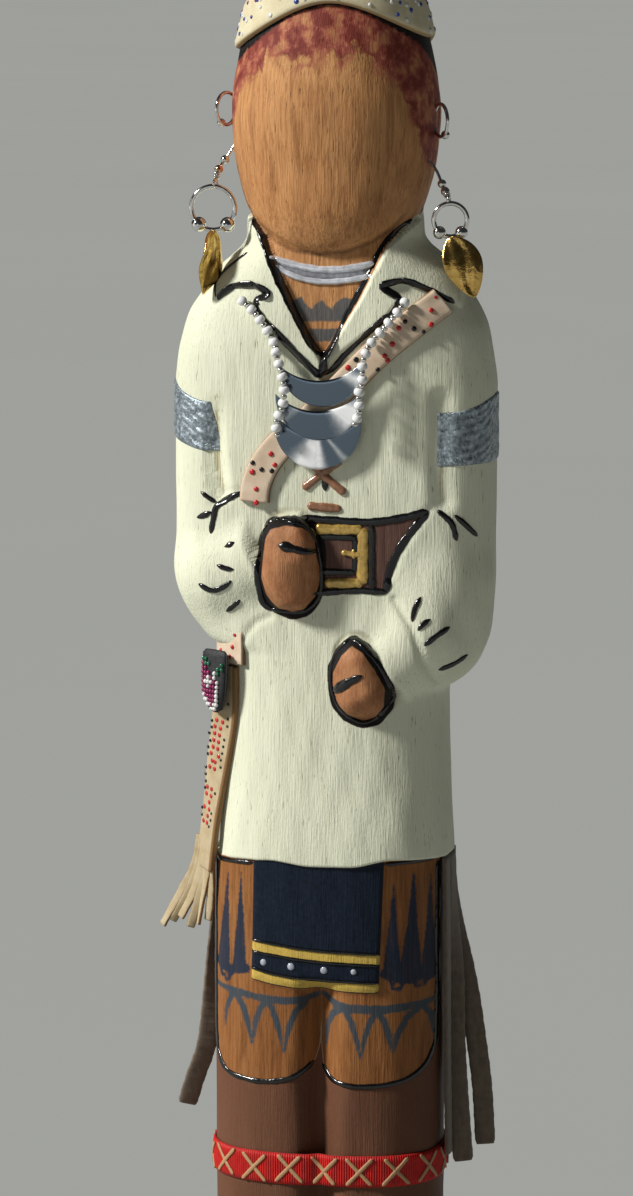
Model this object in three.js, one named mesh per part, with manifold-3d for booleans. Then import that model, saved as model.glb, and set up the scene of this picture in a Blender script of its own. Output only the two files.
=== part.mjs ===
// A carved and painted wooden doll with a plain face, standing on a low round base.
// Millimetres, +Z up. The doll faces -Y and +X is its left arm's side. The origin is the
// middle of the base's underside.
import * as THREE from "three";
import Module from "manifold-3d";
import { mergeVertices } from "three/addons/utils/BufferGeometryUtils.js";

// Driving sizes
const figureHeight = 394;
const baseRadius = 54;
const baseHeight = 15;
const baseRounding = 4;
const baseChamfer = 1;
const touchGap = 0.35; // clearance between pieces that touch

const hideThick = 1.1;
const headbandHigh = 11.5;
const sashWide = 7.5;
const hipEndHigh = 9.2;
const tailWide = 8.6;
const fringeWide = 2.4;
const fringeThick = 1.0;
const fringeStrips = 6;

const ribbonHigh = 8;
const ribbonThick = 0.6;

const beadRadius = 1.2;
const spacerRadius = 0.8;
const threadRadius = 0.5;
const spacerLong = 0.9;

const gorgetRadius = 10.8;
const gorgetUpperRadius = 15;
const gorgetThick = 0.5;

const pouchWide = 8.6;
const pouchHigh = 15.5;
const pouchThick = 2.8;

const hoopRadius = 4.0;
const earWireRadius = 0.45;
const ringWireRadius = 0.6;
const leftRingRadius = 5.4;
const rightRingRadius = 4.1;
const smallBeadRadius = 1.1;
const leftBallRadius = 1.9;
const rightBallRadius = 1.6;
const leafLong = 16;
const leafWide = 9.6;
const leafThick = 1.5;

const laceWide = 5.2;
const laceThick = 1.3;

// The tables below describe a carving 394 mm tall, so its proportions are shares of its height.
const tableHeight = 394;
const scale = figureHeight / tableHeight;
const midLeg = -1.1;
const neckTop = 325; // the body's column ends here, inside the head
const hem = 159; // the shirt's lower edge

// Half width on the viewer's left, by height
const leftSide = [
  [0, 26], [18, 25.4], [34, 26.4], [60, 30.3], [110, 30.3], [hem - 0.4, 30.1], [hem + 0.4, 29.3], [180, 28.7],
  [205, 28.2], [211.6, 28.2], [212.6, 29.4], [214.2, 31.8], [216.9, 34.2], [220, 36.3], [224, 38],
  [229, 39.2], [234, 39.8], [256, 40], [277, 40], [285.7, 39.2], [291, 38.1], [296, 36.4], [301.5, 33],
  [305, 30.2], [307.6, 27.6], [310, 24.8], [312.5, 22.2], [315, 21], [320, 20.7], [326, 19], [330, 14],
];
const rightSide = [
  [0, 25], [18, 24.2], [34, 25], [60, 27.6], [110, 27.6], [hem - 0.4, 27.4], [hem + 0.4, 29.9], [180, 29],
  [200, 28.6], [202.2, 28.8], [203.2, 30.2], [205, 33], [207.7, 35.6], [211, 37.5], [216, 39.1],
  [222, 39.8], [234, 40.1], [277, 40.2], [284, 39.5], [292.5, 38], [297, 36.2], [302, 33.4],
  [306, 30.6], [308.6, 27.8], [311, 24.8], [313, 22.4], [315.5, 21], [320, 20.7], [326, 19], [330, 14],
];
const halfDepth = [
  [0, 16], [18, 17], [34, 18], [60, 20.2], [110, 20.4], [hem - 0.4, 20.2], [hem + 0.4, 21.7], [180, 20.6],
  [210, 19.4], [228, 18.8], [246, 18.6], [285, 18.4], [296, 17.9], [304, 17.4], [310, 17.2],
  [320, 17], [326, 16], [330, 12],
];
// How square the section is: 2 is an ellipse
const squareness = [
  [0, 2.6], [hem, 2.7], [198, 2.6], [214, 2.8], [228, 3.3], [285, 3.3], [298, 3], [308, 2.6], [326, 2.3],
];
const headSide = [
  [306, 13], [312, 17.6], [320, 21.1], [324, 22.5], [331, 24.4], [338, 25.5], [346, 25.9], [353, 25.3],
  [359.6, 24], [366, 22.5], [373, 20.6], [380, 18.1], [386, 14.9], [390, 11.3], [392.6, 7], [393.8, 2.6],
  [394, 0.6],
];
const headDepth = 0.885;

// Front outlines, as x and height
const neckOpening = [
  [-22, 323], [-16, 316], [-10.2, 303.1], [-5.8, 294.2], [-0.6, 285.6], [5, 294.4], [8.7, 300.6],
  [14.9, 313.5], [22, 323],
];
const leftLapel = [
  [-0.9, 280.9], [-11.2, 291.1], [-17.2, 299.4], [-14.4, 301.9], [-17.9, 303.6], [-23.4, 303.3],
  [-28.6, 299.2], [-30, 306.7], [-24, 322], [-16, 316], [-10.2, 303.1], [-5.8, 294.2], [-0.6, 285.6],
];
const rightLapel = [
  [-0.9, 280.9], [3.8, 287], [15, 296.2], [18.7, 300.7], [14.5, 303.8], [18.9, 305.4], [26.6, 302.5],
  [33, 298.8], [33, 306], [24, 322], [14.9, 313.5], [8.7, 300.6], [5, 294.4], [-0.6, 285.6],
];
const breechcloth = [[-17.6, 162], [-18.3, 129.2], [13.8, 127], [15.2, 162]];
const leftArmCut = [[-27.4, 274], [-27.6, 262], [-26.2, 252]];
const rightArmCut = [[28.6, 276], [28.4, 262], [29, 251]];
const leftBackCut = [[-28, 272], [-28, 214]];
const rightBackCut = [[28, 272], [28, 206]];

const clamp = (v, low, high) => Math.min(high, Math.max(low, v));
function ease(low, high, v) {
  const t = clamp((v - low) / (high - low), 0, 1);
  return t * t * (3 - 2 * t);
}

function softMin(a, b, k) {
  const h = Math.max(k - Math.abs(a - b), 0) / k;
  return Math.min(a, b) - (h * h * k) / 4;
}
const softMax = (a, b, k) => -softMin(-a, -b, k);

// A smooth curve through [height, value] rows that never overshoots a row
function along(rows, height) {
  const z = clamp(height, rows[0][0], rows[rows.length - 1][0]);
  let i = 0;
  while (i < rows.length - 2 && z >= rows[i + 1][0]) i++;
  const rise = (k) => (rows[k + 1][1] - rows[k][1]) / (rows[k + 1][0] - rows[k][0]);
  const slope = (k) => {
    if (k === 0) return rise(0);
    if (k === rows.length - 1) return rise(k - 1);
    const [a, b] = [rise(k - 1), rise(k)];
    return a * b > 0 ? (2 * a * b) / (a + b) : 0;
  };
  const step = rows[i + 1][0] - rows[i][0];
  const t = (z - rows[i][0]) / step;
  const start = (2 * t ** 3 - 3 * t ** 2 + 1) * rows[i][1] + (t ** 3 - 2 * t ** 2 + t) * step * slope(i);
  return start + (3 * t ** 2 - 2 * t ** 3) * rows[i + 1][1] + (t ** 3 - t ** 2) * step * slope(i + 1);
}

// Distance along the spoke to the rounded rectangle |x/w|^n + |y/d|^n = 1
function column(x, y, w, d, n) {
  const size = (Math.abs(x / w) ** n + Math.abs(y / d) ** n) ** (1 / n) + 1e-9;
  return Math.hypot(x, y) * (1 - 1 / size);
}

// A round bar from a to b, flattened in y, cut square at b where endRound is given
function bar(x, y, z, a, b, radiusA, radiusB, flat, endRound) {
  const axis = [b[0] - a[0], b[1] - a[1], b[2] - a[2]];
  const p = [x - a[0], y - a[1], z - a[2]];
  const square = axis[0] ** 2 + axis[1] ** 2 + axis[2] ** 2;
  const share = (p[0] * axis[0] + p[1] * axis[1] + p[2] * axis[2]) / square;
  const t = clamp(share, 0, 1);
  const reach = Math.hypot(p[0] - t * axis[0], (p[1] - t * axis[1]) / flat, p[2] - t * axis[2]);
  const side = (reach - (radiusA + (radiusB - radiusA) * t)) * flat;
  return endRound ? softMax(side, (share - 1) * Math.sqrt(square), endRound) : side;
}

// A rounded block, turned in the front view by tilt and narrower at the top by taper
function egg(x, y, z, middle, radii, tilt, n, taper) {
  const dx = x - middle[0];
  const dz = z - middle[2];
  const across = dx * Math.cos(tilt) + dz * Math.sin(tilt);
  const up = (dz * Math.cos(tilt) - dx * Math.sin(tilt)) / radii[2];
  const wide = radii[0] * (1 - taper * clamp(up, -1, 1));
  const depth = Math.abs((y - middle[1]) / radii[1]);
  const size = (Math.abs(across / wide) ** n + depth ** n + Math.abs(up) ** n) ** (1 / n);
  return (size - 1) * Math.min(...radii);
}

// Signed distance in the front view to a closed outline, negative inside
function within(points, x, z) {
  let nearest = Infinity;
  let sign = 1;
  for (let i = 0; i < points.length; i++) {
    const [ax, az] = points[i];
    const [bx, bz] = points[(i + 1) % points.length];
    const [ex, ez, wx, wz] = [bx - ax, bz - az, x - ax, z - az];
    const t = clamp((wx * ex + wz * ez) / (ex * ex + ez * ez), 0, 1);
    nearest = Math.min(nearest, Math.hypot(wx - t * ex, wz - t * ez));
    const [above, below, left] = [z >= az, z < bz, ex * wz > ez * wx];
    if ((above && below && left) || (!above && !below && !left)) sign = -sign;
  }
  return sign * nearest;
}

// The depth of a rounded cut along a line in the front view
function cutAlong(points, x, z, wide, deep) {
  let nearest = Infinity;
  for (let i = 1; i < points.length; i++) {
    const [ax, az] = points[i - 1];
    const [ex, ez] = [points[i][0] - ax, points[i][1] - az];
    const t = clamp(((x - ax) * ex + (z - az) * ez) / (ex * ex + ez * ez), 0, 1);
    nearest = Math.min(nearest, Math.hypot(x - ax - t * ex, z - az - t * ez));
  }
  return deep * (1 - ease(0, wide, nearest));
}

// Collar, neck opening, cloth and cuts, as height above the plain column
function relief(x, y, z) {
  const front = ease(0.5, -3.5, y);
  const back = ease(-0.5, 3, y);
  const lapel = Math.min(within(leftLapel, x, z), within(rightLapel, x, z));
  const legGroove = 5 * Math.exp(-(((x - midLeg) / 4) ** 2)) * ease(131, 125, z);
  const cloth = 0.7 * ease(0.4, -0.4, within(breechcloth, x, z)) * ease(hem + 0.4, hem - 0.4, z);
  const collar = 1.1 * (front * ease(0.5, -0.5, lapel) + back * ease(302.5, 303.7, z));
  const opening = front * ease(0.6, -0.6, within(neckOpening, x, z));
  const leftCut = cutAlong(leftArmCut, x, z, 3.6, 3) * ease(279, 262, z);
  const frontCuts = leftCut + cutAlong(rightArmCut, x, z, 4.2, 1.6);
  const backCuts = cutAlong(leftBackCut, x, z, 4, 2.4) + cutAlong(rightBackCut, x, z, 4, 2.4);
  return collar - opening - legGroove + cloth * (front + back) - front * frontCuts - back * backCuts;
}

const plainColumn = (x, y, z) =>
  column(x, y, along(x < 0 ? leftSide : rightSide, z), along(halfDepth, z), along(squareness, z));

function head(x, y, z) {
  const side = along(headSide, z);
  const chin = 311.6 + 8.4 * (x / 21) ** 2 - 0.9 * ease(0, 8, y);
  const jaw = 1 + 0.14 * ease(336, 316, z) * ease(2, -4, y);
  return softMax(column(x, y, side, side * headDepth * jaw, 2.15), chin - z, 3);
}

function feet(x, y, z) {
  const foot = (side) => egg(x, y, z, [midLeg + side * 14.2, -9, 4], [12.4, 27.5, 16.5], 0, 2.5, 0);
  return Math.min(foot(-1), foot(1));
}

// Roughly the distance to the carved surface, negative in the wood
function carved(x, y, z) {
  let f = softMax(plainColumn(x, y, z) - relief(x, y, z), z - neckTop, 2);
  f = softMin(f, bar(x, y, z, [-24.6, -6, 231.6], [-15.8, -9.4, 236], 15.2, 13.4, 0.93, 2), 2);
  f = softMin(f, egg(x, y, z, [-8.4, -17.8, 235], [7.6, 8.2, 12], 0, 2.5, 0), 0.8);
  f = softMin(f, bar(x, y, z, [25.6, -4.6, 230], [22.6, -8.6, 218], 14, 13, 0.93, 0), 3);
  f = softMin(f, bar(x, y, z, [22.5, -9.2, 216.5], [12.8, -11.6, 207.2], 11.6, 11, 0.95, 2), 1.2);
  f = softMin(f, egg(x, y, z, [9.4, -17.2, 206.6], [7.2, 7.6, 10.8], 0.2, 2.3, 0.16), 0.8);
  f = softMin(f, feet(x, y, z), 3);
  return softMin(f, head(x, y, z), 0.8);
}

// The outermost crossing of a field on a line from far in direction inward
function firstTouch(field, far, inward, reach) {
  const step = 0.8;
  const at = (t) => field(far[0] + inward[0] * t, far[1] + inward[1] * t, far[2] + inward[2] * t);
  let outside = 0;
  while (outside < reach && at(outside + step) > 0) outside += step;
  let inside = outside + step;
  for (let i = 0; i < 12; i++) {
    const middle = (outside + inside) / 2;
    if (at(middle) > 0) outside = middle;
    else inside = middle;
  }
  return inside;
}

const vector = (x, y, z) => new THREE.Vector3(x, y, z);
const doll = (x, y, z) => vector(x * scale, y * scale, z * scale + baseHeight);

function outward(field, x, y, z) {
  const h = 0.4;
  const slope = (dx, dy, dz) => field(x + dx, y + dy, z + dz) - field(x - dx, y - dy, z - dz);
  return vector(slope(h, 0, 0), slope(0, h, 0), slope(0, 0, h)).normalize();
}

// The point at a height and an angle round the axis, 0 in front and growing towards +X
function around(field, angle, z, lift) {
  const [dx, dy] = [Math.sin(angle), -Math.cos(angle)];
  const far = 50;
  const radius = far - firstTouch(field, [far * dx, far * dy, z], [-dx, -dy, 0], far - 1);
  const normal = outward(field, radius * dx, radius * dy, z);
  return doll(radius * dx, radius * dy, z).addScaledVector(normal, lift);
}

// The point of the front that shows at x and height z
function onFront(x, z, lift) {
  const y = -45 + firstTouch(carved, [x, -45, z], [0, 1, 0], 60);
  return doll(x, y, z).addScaledVector(outward(carved, x, y, z), lift);
}

const wasm = await Module();
wasm.setup();

function toSolid(geometry) {
  const bare = geometry.index ? geometry.clone() : geometry;
  bare.deleteAttribute("normal");
  bare.deleteAttribute("uv");
  const merged = mergeVertices(bare, 1e-4);
  return new wasm.Manifold(
    new wasm.Mesh({
      numProp: 3,
      vertProperties: new Float32Array(merged.attributes.position.array),
      triVerts: new Uint32Array(merged.index.array),
    }),
  );
}

function toGeometry(solid) {
  const mesh = solid.getMesh();
  const geometry = new THREE.BufferGeometry();
  geometry.setAttribute("position", new THREE.BufferAttribute(new Float32Array(mesh.vertProperties), 3));
  geometry.setIndex(new THREE.BufferAttribute(new Uint32Array(mesh.triVerts), 1));
  return geometry;
}

const joined = (geometries) => toGeometry(geometries.map(toSolid).reduce((a, b) => a.add(b)));

// Triangles across rows of equally many points, each quad split along its shorter diagonal
function skin(rows, rowsClose, ringsClose) {
  const wide = rows[0].length;
  const points = rows.flat();
  const triangles = [];
  const lastRow = rowsClose ? rows.length : rows.length - 1;
  const lastStep = ringsClose ? wide : wide - 1;
  for (let i = 0; i < lastRow; i++) {
    for (let j = 0; j < lastStep; j++) {
      const next = ((i + 1) % rows.length) * wide;
      const [a, b] = [i * wide + j, i * wide + ((j + 1) % wide)];
      const [c, d] = [next + ((j + 1) % wide), next + j];
      if (points[a].distanceTo(points[c]) < points[b].distanceTo(points[d])) {
        triangles.push(a, b, c, a, c, d);
      } else {
        triangles.push(a, b, d, b, c, d);
      }
    }
  }
  return { points, triangles };
}

function capRow(points, triangles, start, wide, turn) {
  const middle = vector(0, 0, 0);
  for (let j = 0; j < wide; j++) middle.addScaledVector(points[start + j], 1 / wide);
  points.push(middle);
  for (let j = 0; j < wide; j++) {
    const [a, b] = [start + j, start + ((j + 1) % wide)];
    triangles.push(...(turn ? [b, a, points.length - 1] : [a, b, points.length - 1]));
  }
}

// A closed body from rings of points, which closes on itself or has flat ends
function loft(rings, closes) {
  const { points, triangles } = skin(rings, closes, true);
  if (!closes) {
    capRow(points, triangles, 0, rings[0].length, true);
    capRow(points, triangles, (rings.length - 1) * rings[0].length, rings[0].length, false);
  }
  let volume = 0;
  for (let i = 0; i < triangles.length; i += 3) {
    const [a, b, c] = [0, 1, 2].map((k) => points[triangles[i + k]]);
    volume += a.dot(vector(0, 0, 0).crossVectors(b, c));
  }
  if (volume < 0) triangles.reverse();
  const geometry = new THREE.BufferGeometry().setFromPoints(points);
  geometry.setIndex(triangles);
  return geometry;
}

// A ring of sides points round a centre, in the plane of two directions
function ringOf(centre, across, over, radiusAcross, radiusOver, sides) {
  const points = [];
  for (let k = 0; k < sides; k++) {
    const turn = (2 * Math.PI * (k + 0.5)) / sides;
    const point = centre.clone().addScaledVector(across, radiusAcross * Math.cos(turn));
    points.push(point.addScaledVector(over, radiusOver * Math.sin(turn)));
  }
  return points;
}

// A round wire, strand or turned form along a smooth line, its radius a function of the share run
function strandAlong(points, radiusAt, steps, sides) {
  const line = new THREE.CatmullRomCurve3(points);
  const rings = [];
  for (let i = 0; i <= steps; i++) {
    const t = i / steps;
    const forward = line.getTangentAt(t);
    const across = vector(0, 1, 0).cross(forward).normalize();
    const over = forward.clone().cross(across);
    rings.push(ringOf(line.getPointAt(t), across, over, radiusAt(t), radiusAt(t), sides));
  }
  return loft(rings, false);
}

// A flat strip along a smooth line: turn gives the direction of its width by the share run
function stripAlong(points, widthAt, thick, turnAt, steps) {
  const line = new THREE.CatmullRomCurve3(points);
  const rings = [];
  for (let i = 0; i <= steps; i++) {
    const t = i / steps;
    const forward = line.getTangentAt(t);
    const angle = turnAt(t);
    const across = vector(Math.cos(angle), Math.sin(angle), 0);
    across.addScaledVector(forward, -across.dot(forward)).normalize();
    const over = forward.clone().cross(across);
    const centre = line.getPointAt(t);
    const half = widthAt(t) / 2;
    const corners = [[half, 1], [-half, 1], [-half, -1], [half, -1]];
    rings.push(corners.map(([w, side]) =>
      centre.clone().addScaledVector(across, w).addScaledVector(over, (side * thick) / 2)));
  }
  return loft(rings, false);
}

const group = new THREE.Group();
function addPiece(name, geometry, color, roughness, metalness) {
  geometry.computeVertexNormals();
  const mesh = new THREE.Mesh(geometry, new THREE.MeshStandardMaterial({ color, roughness, metalness }));
  mesh.name = name;
  group.add(mesh);
  return mesh;
}

// The carving: spokes round the axis, close together in front, at the heights where it changes
const spokesInFront = 31;
const spokesBehind = 13;
const levels = [
  0, 5, 11, 17, 26, 60, 120, 126, 128.2, 131, hem - 0.4, hem + 0.4, 190, 199, 203.5,
  207.5, 211.5, 214.5, 218, 222, 226.5, 231, 236, 241, 245.5, 249.5, 255, 265, 276, 284, 289, 293,
  296.5, 299.5, 302.5, 303.7, 306, 309, 312, 315, 318, 321, 327, 336, 346, 357, 367, 375, 381, 386, 390, 392.6,
];
function figureShell(lift) {
  const angles = [];
  for (let i = 0; i < spokesInFront; i++) angles.push(-Math.PI / 2 + (Math.PI * i) / spokesInFront);
  for (let i = 0; i < spokesBehind; i++) angles.push(Math.PI / 2 + (Math.PI * i) / spokesBehind);
  const rings = levels.map((z) => angles.map((angle) => around(carved, angle, z, lift)));
  if (lift === 0) {
    rings[0].forEach((point) => { point.z = baseHeight; });
  }
  const shell = loft(rings, false);
  const crown = shell.attributes.position.count - 1;
  shell.attributes.position.setXYZ(crown, 0, 0, baseHeight + figureHeight + lift);
  return shell;
}

addPiece("carved_figure", figureShell(0), 0xe4dcb4, 0.6, 0);

function base() {
  const corner = (centre, turn) => new THREE.Vector2(
    baseRadius - baseRounding + baseRounding * Math.sin(turn), centre + baseRounding * Math.cos(turn));
  const profile = [new THREE.Vector2(0, 0), new THREE.Vector2(baseRadius - baseChamfer, 0)];
  profile.push(new THREE.Vector2(baseRadius, baseChamfer));
  for (let i = 3; i >= 0; i--) profile.push(corner(baseHeight - baseRounding, (i * Math.PI) / 6));
  profile.push(new THREE.Vector2(0, baseHeight));
  return new THREE.LatheGeometry(profile, 36).rotateX(Math.PI / 2);
}
addPiece("base", toGeometry(toSolid(base())), 0x6a4a30, 0.5, 0);

// Headband: its lower edge arches over the brow and falls towards the nape
const bandPeak = 372.8;
const bandPeakX = 3;
const bandFall = 0.018;
function bandEdge(angle) {
  const side = 25 * Math.sin(angle);
  const squared = Math.cos(angle) > 0 ? (side - bandPeakX) ** 2 : 2 * 25 ** 2 - side ** 2 + bandPeakX ** 2
    - 2 * bandPeakX * side;
  return bandPeak - bandFall * squared;
}
function headband() {
  const steps = 36;
  const rings = [];
  for (let i = 0; i < steps; i++) {
    const angle = (2 * Math.PI * i) / steps;
    const low = bandEdge(angle);
    const heights = [0, 0.5, 1].map((t) => low + (t * headbandHigh) / scale);
    const outer = heights.map((z) => around(carved, angle, z, touchGap + hideThick));
    const inner = heights.map((z) => around(carved, angle, z, touchGap)).reverse();
    rings.push([...outer, ...inner]);
  }
  return loft(rings, true);
}
addPiece("headband", headband(), 0xe2d3b4, 0.8, 0);

// A strap laid on the front, trimmed to clear the wood
const cleared = toSolid(figureShell(touchGap));
function frontStrap(route, wide, lift) {
  const line = new THREE.CatmullRomCurve3(route.map(([x, z]) => vector(x, 0, z)));
  const steps = 10;
  const rings = [];
  for (let i = 0; i <= steps; i++) {
    const centre = line.getPointAt(i / steps);
    const forward = line.getTangentAt(i / steps);
    const columns = [-0.5, 0, 0.5].map((share) => {
      const off = (share * wide) / scale;
      return [centre.x - forward.z * off, centre.z + forward.x * off];
    });
    const outer = columns.map(([x, z]) => onFront(x, z, lift + hideThick));
    const inner = columns.map(([x, z]) => onFront(x, z, -1.5)).reverse();
    rings.push([...outer, ...inner]);
  }
  return toGeometry(toSolid(loft(rings, false)).subtract(cleared));
}
const sashRoute = [
  [28.8, 300.4], [19.9, 293.3], [12.6, 287.1], [5.2, 279.6], [-3.5, 270.8], [-11, 264.4], [-15.3, 258.5],
  [-17.1, 253.5], [-17.4, 250.2],
];
addPiece("chest_sash", frontStrap(sashRoute, sashWide, touchGap), 0xd8b890, 0.85, 0);

// The sash's end at the hip is laid round the side of the skirt, under the elbow
const hipTop = 217.6;
const hipAngles = [-0.9, -1.33];
const skirtOnly = (x, y, z) => plainColumn(x, y, Math.min(z, 205));
function hipEnd() {
  const rings = [];
  const steps = 5;
  const [from, to] = hipAngles;
  for (let i = 0; i <= steps; i++) {
    const angle = from + ((to - from) * i) / steps;
    const heights = [0, 0.5, 1].map((t) => hipTop - (t * hipEndHigh) / scale);
    const outer = heights.map((z) => around(skirtOnly, angle, z, touchGap + hideThick));
    const inner = heights.map((z) => around(skirtOnly, angle, z, touchGap)).reverse();
    rings.push([...outer, ...inner]);
  }
  return toGeometry(toSolid(loft(rings, false)).subtract(cleared));
}
addPiece("hip_sash_end", hipEnd(), 0xd8b890, 0.85, 0);

// Garter ribbon round both legs, bridging the groove between them
const ribbonTop = 84.4;
function ribbon() {
  const steps = 40;
  const rings = [];
  for (let i = 0; i < steps; i++) {
    const angle = (2 * Math.PI * i) / steps;
    const heights = [ribbonTop, ribbonTop - ribbonHigh / scale];
    const outer = heights.map((z) => around(plainColumn, angle, z, touchGap + ribbonThick));
    const inner = heights.map((z) => around(plainColumn, angle, z, touchGap)).reverse();
    rings.push([...outer, ...inner]);
  }
  return loft(rings, true);
}
addPiece("garter_ribbon", ribbon(), 0xc8201c, 0.7, 0);

// A point in front of the wood at x and height z, straight out by lift
function before(x, z, lift) {
  const y = -45 + firstTouch(carved, [x, -45, z], [0, 1, 0], 60);
  return doll(x, y, z).add(vector(0, -lift, 0));
}

// Bead strands: each white bead is followed by a smaller silver spacer
const overSash = touchGap + hideThick;
const gorgetStep = gorgetThick + touchGap;
const overGorgets = overSash + 3 * gorgetStep;
function beadStrand(route) {
  const points = route.map(([x, z, lift]) => before(x, z, lift + touchGap + beadRadius));
  const length = new THREE.CatmullRomCurve3(points).getLength();
  const pairs = Math.round(length / (2 * beadRadius + spacerLong));
  const radii = [threadRadius, beadRadius, 0.92 * beadRadius, spacerRadius];
  const steps = 4 * pairs;
  return strandAlong(points, (t) => (t < 1 ? radii[Math.round(t * steps) % 4] : threadRadius), steps, 5);
}
const leftStrand = [
  [-21.4, 300.6, 0.5], [-18.6, 298.4, 0.3], [-16.2, 295.8, 0.2], [-14.2, 293.2, 0.2], [-12.2, 289.8, 0.2],
  [-10.9, 286.4, 3], [-9.6, 282.6, overGorgets], [-9, 278, overGorgets], [-9.4, 274.6, overGorgets],
  [-11, 270.4, overGorgets], [-10.7, 267.2, overGorgets],
];
const rightStrand = [
  [20.6, 301.2, 0.8], [18.9, 298.4, overSash], [17.2, 296.4, overSash], [15.2, 293.8, overSash],
  [12.9, 291.3, overSash], [11.2, 288.3, 3.4], [10.4, 285, overGorgets], [10.4, 281.4, overGorgets],
  [9.5, 277.6, overGorgets], [9.7, 273.7, overGorgets], [8.4, 270.2, overGorgets],
];
addPiece("bead_strand_left", beadStrand(leftStrand), 0xf2f2ee, 0.3, 0);
addPiece("bead_strand_right", beadStrand(rightStrand), 0xf2f2ee, 0.3, 0);

// A crescent plate between a round lower edge and a flatter upper one, hung on the chest
function gorget(x, middle, upperEdge, layer, tilt) {
  const apart = upperEdge + gorgetUpperRadius - middle;
  const tipHeight = (gorgetRadius ** 2 - gorgetUpperRadius ** 2 + apart ** 2) / (2 * apart);
  const tipReach = Math.sqrt(gorgetRadius ** 2 - tipHeight ** 2);
  const rise = Math.asin(tipHeight / gorgetRadius);
  const drop = Math.atan2(apart - tipHeight, tipReach);
  const outline = new THREE.Shape();
  outline.absarc(0, 0, gorgetRadius, Math.PI - rise, 2 * Math.PI + rise, false);
  outline.absarc(0, apart, gorgetUpperRadius, -drop, drop - Math.PI, true);
  const plate = new THREE.ExtrudeGeometry(outline, {
    depth: gorgetThick, bevelEnabled: false, curveSegments: 7,
  });
  const lift = overSash + touchGap + layer * gorgetStep;
  plate.rotateX(Math.PI / 2).rotateY(tilt);
  const seat = before(x, middle - 4, lift);
  return plate.translate(seat.x, seat.y, middle * scale + baseHeight);
}
addPiece("gorget_bottom", gorget(-1.2, 269.6, 267.4, 0, 0.02), 0xd8dce2, 0.15, 1);
addPiece("gorget_middle", gorget(-0.8, 277, 273.4, 1, -0.05), 0xd8dce2, 0.15, 1);
addPiece("gorget_top", gorget(0.1, 285.4, 281.1, 2, -0.09), 0xd8dce2, 0.15, 1);

// The pouch hangs at the hip, over the top of the sash's tail
const pouchTop = 212.2;
const pouchTurn = -0.62;
const pouchSpot = [-28, -15.3];
function pouch() {
  const [half, narrow, round] = [pouchWide / 2, pouchWide * 0.3, pouchWide * 0.2];
  const outline = new THREE.Shape();
  outline.moveTo(-half + round, 0);
  outline.lineTo(half - round, 0);
  outline.quadraticCurveTo(half, 0, half, -round);
  outline.lineTo(narrow, -pouchHigh + round);
  outline.quadraticCurveTo(0, -pouchHigh - round * 0.4, -narrow, -pouchHigh + round);
  outline.lineTo(-half, -round);
  outline.quadraticCurveTo(-half, 0, -half + round, 0);
  const body = new THREE.ExtrudeGeometry(outline, {
    depth: pouchThick, bevelEnabled: false, curveSegments: 3,
  });
  body.translate(0, 0, -pouchThick / 2).rotateX(Math.PI / 2).rotateZ(pouchTurn);
  return body.translate(...doll(...pouchSpot, pouchTop).toArray());
}
addPiece("pouch", pouch(), 0x2a1c16, 0.6, 0);

// The sash's tail: a strip that turns edge-on as it falls and is cut into a fringe
function sashTail() {
  const route = [
    doll(-26.3, -13.2, 207.9), doll(-26.5, -13, 194.5), doll(-28.4, -11.6, 186), doll(-30.2, -10.2, 176.5),
    doll(-31.2, -9.4, 167), doll(-32, -8.7, 157),
  ];
  const strip = stripAlong(route, (t) => tailWide - 1.4 * t, hideThick, (t) => -0.62 - 0.25 * ease(0.3, 0.8, t), 8);
  const parts = [strip];
  for (let i = 0; i < fringeStrips; i++) {
    const t = i / (fringeStrips - 1) - 0.5;
    const top = doll(-32.2 + 3 * t, -8.6 - 3 * t, 159.5);
    const middle = doll(-34.2 + 6.5 * t, -8 - 3.4 * t, 150);
    const end = doll(-37.6 + 12.6 * t, -7 - 4 * t + 1.4 * (i % 2), 139.5 + 1.2 * (i % 2));
    parts.push(stripAlong([top, middle, end], () => fringeWide, fringeThick, () => -0.5 - 0.5 * t, 3));
  }
  return joined(parts);
}
addPiece("sash_tail", sashTail(), 0xdcc08a, 0.9, 0);

// Earrings: the wires run into the wood of the head and end just clear of it
const trimmed = (geometry) => toGeometry(toSolid(geometry).subtract(cleared));
const ballAt = (point, radius, detail) => new THREE.OctahedronGeometry(radius, detail).translate(...point.toArray());
function ringAt(centre, radius, wire, turn) {
  const ring = new THREE.TorusGeometry(radius, wire, 4, 14).rotateX(Math.PI / 2).rotateZ(turn);
  return ring.translate(...centre.toArray());
}
function hoop(side, centre, turn) {
  const ball = centre.clone().add(vector(side * 0.3 * hoopRadius, -0.4, -hoopRadius * 0.88));
  return trimmed(joined([ringAt(centre, hoopRadius, earWireRadius, turn), ballAt(ball, smallBeadRadius, 1)]));
}
const silver = [0xd0d0d0, 0.2, 1];
addPiece("ear_hoop_left", hoop(-1, doll(-26.6, -6, 346.4), 1.1), ...silver);
addPiece("ear_hoop_right", hoop(1, doll(27, -6, 344), -1.0), ...silver);

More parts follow.
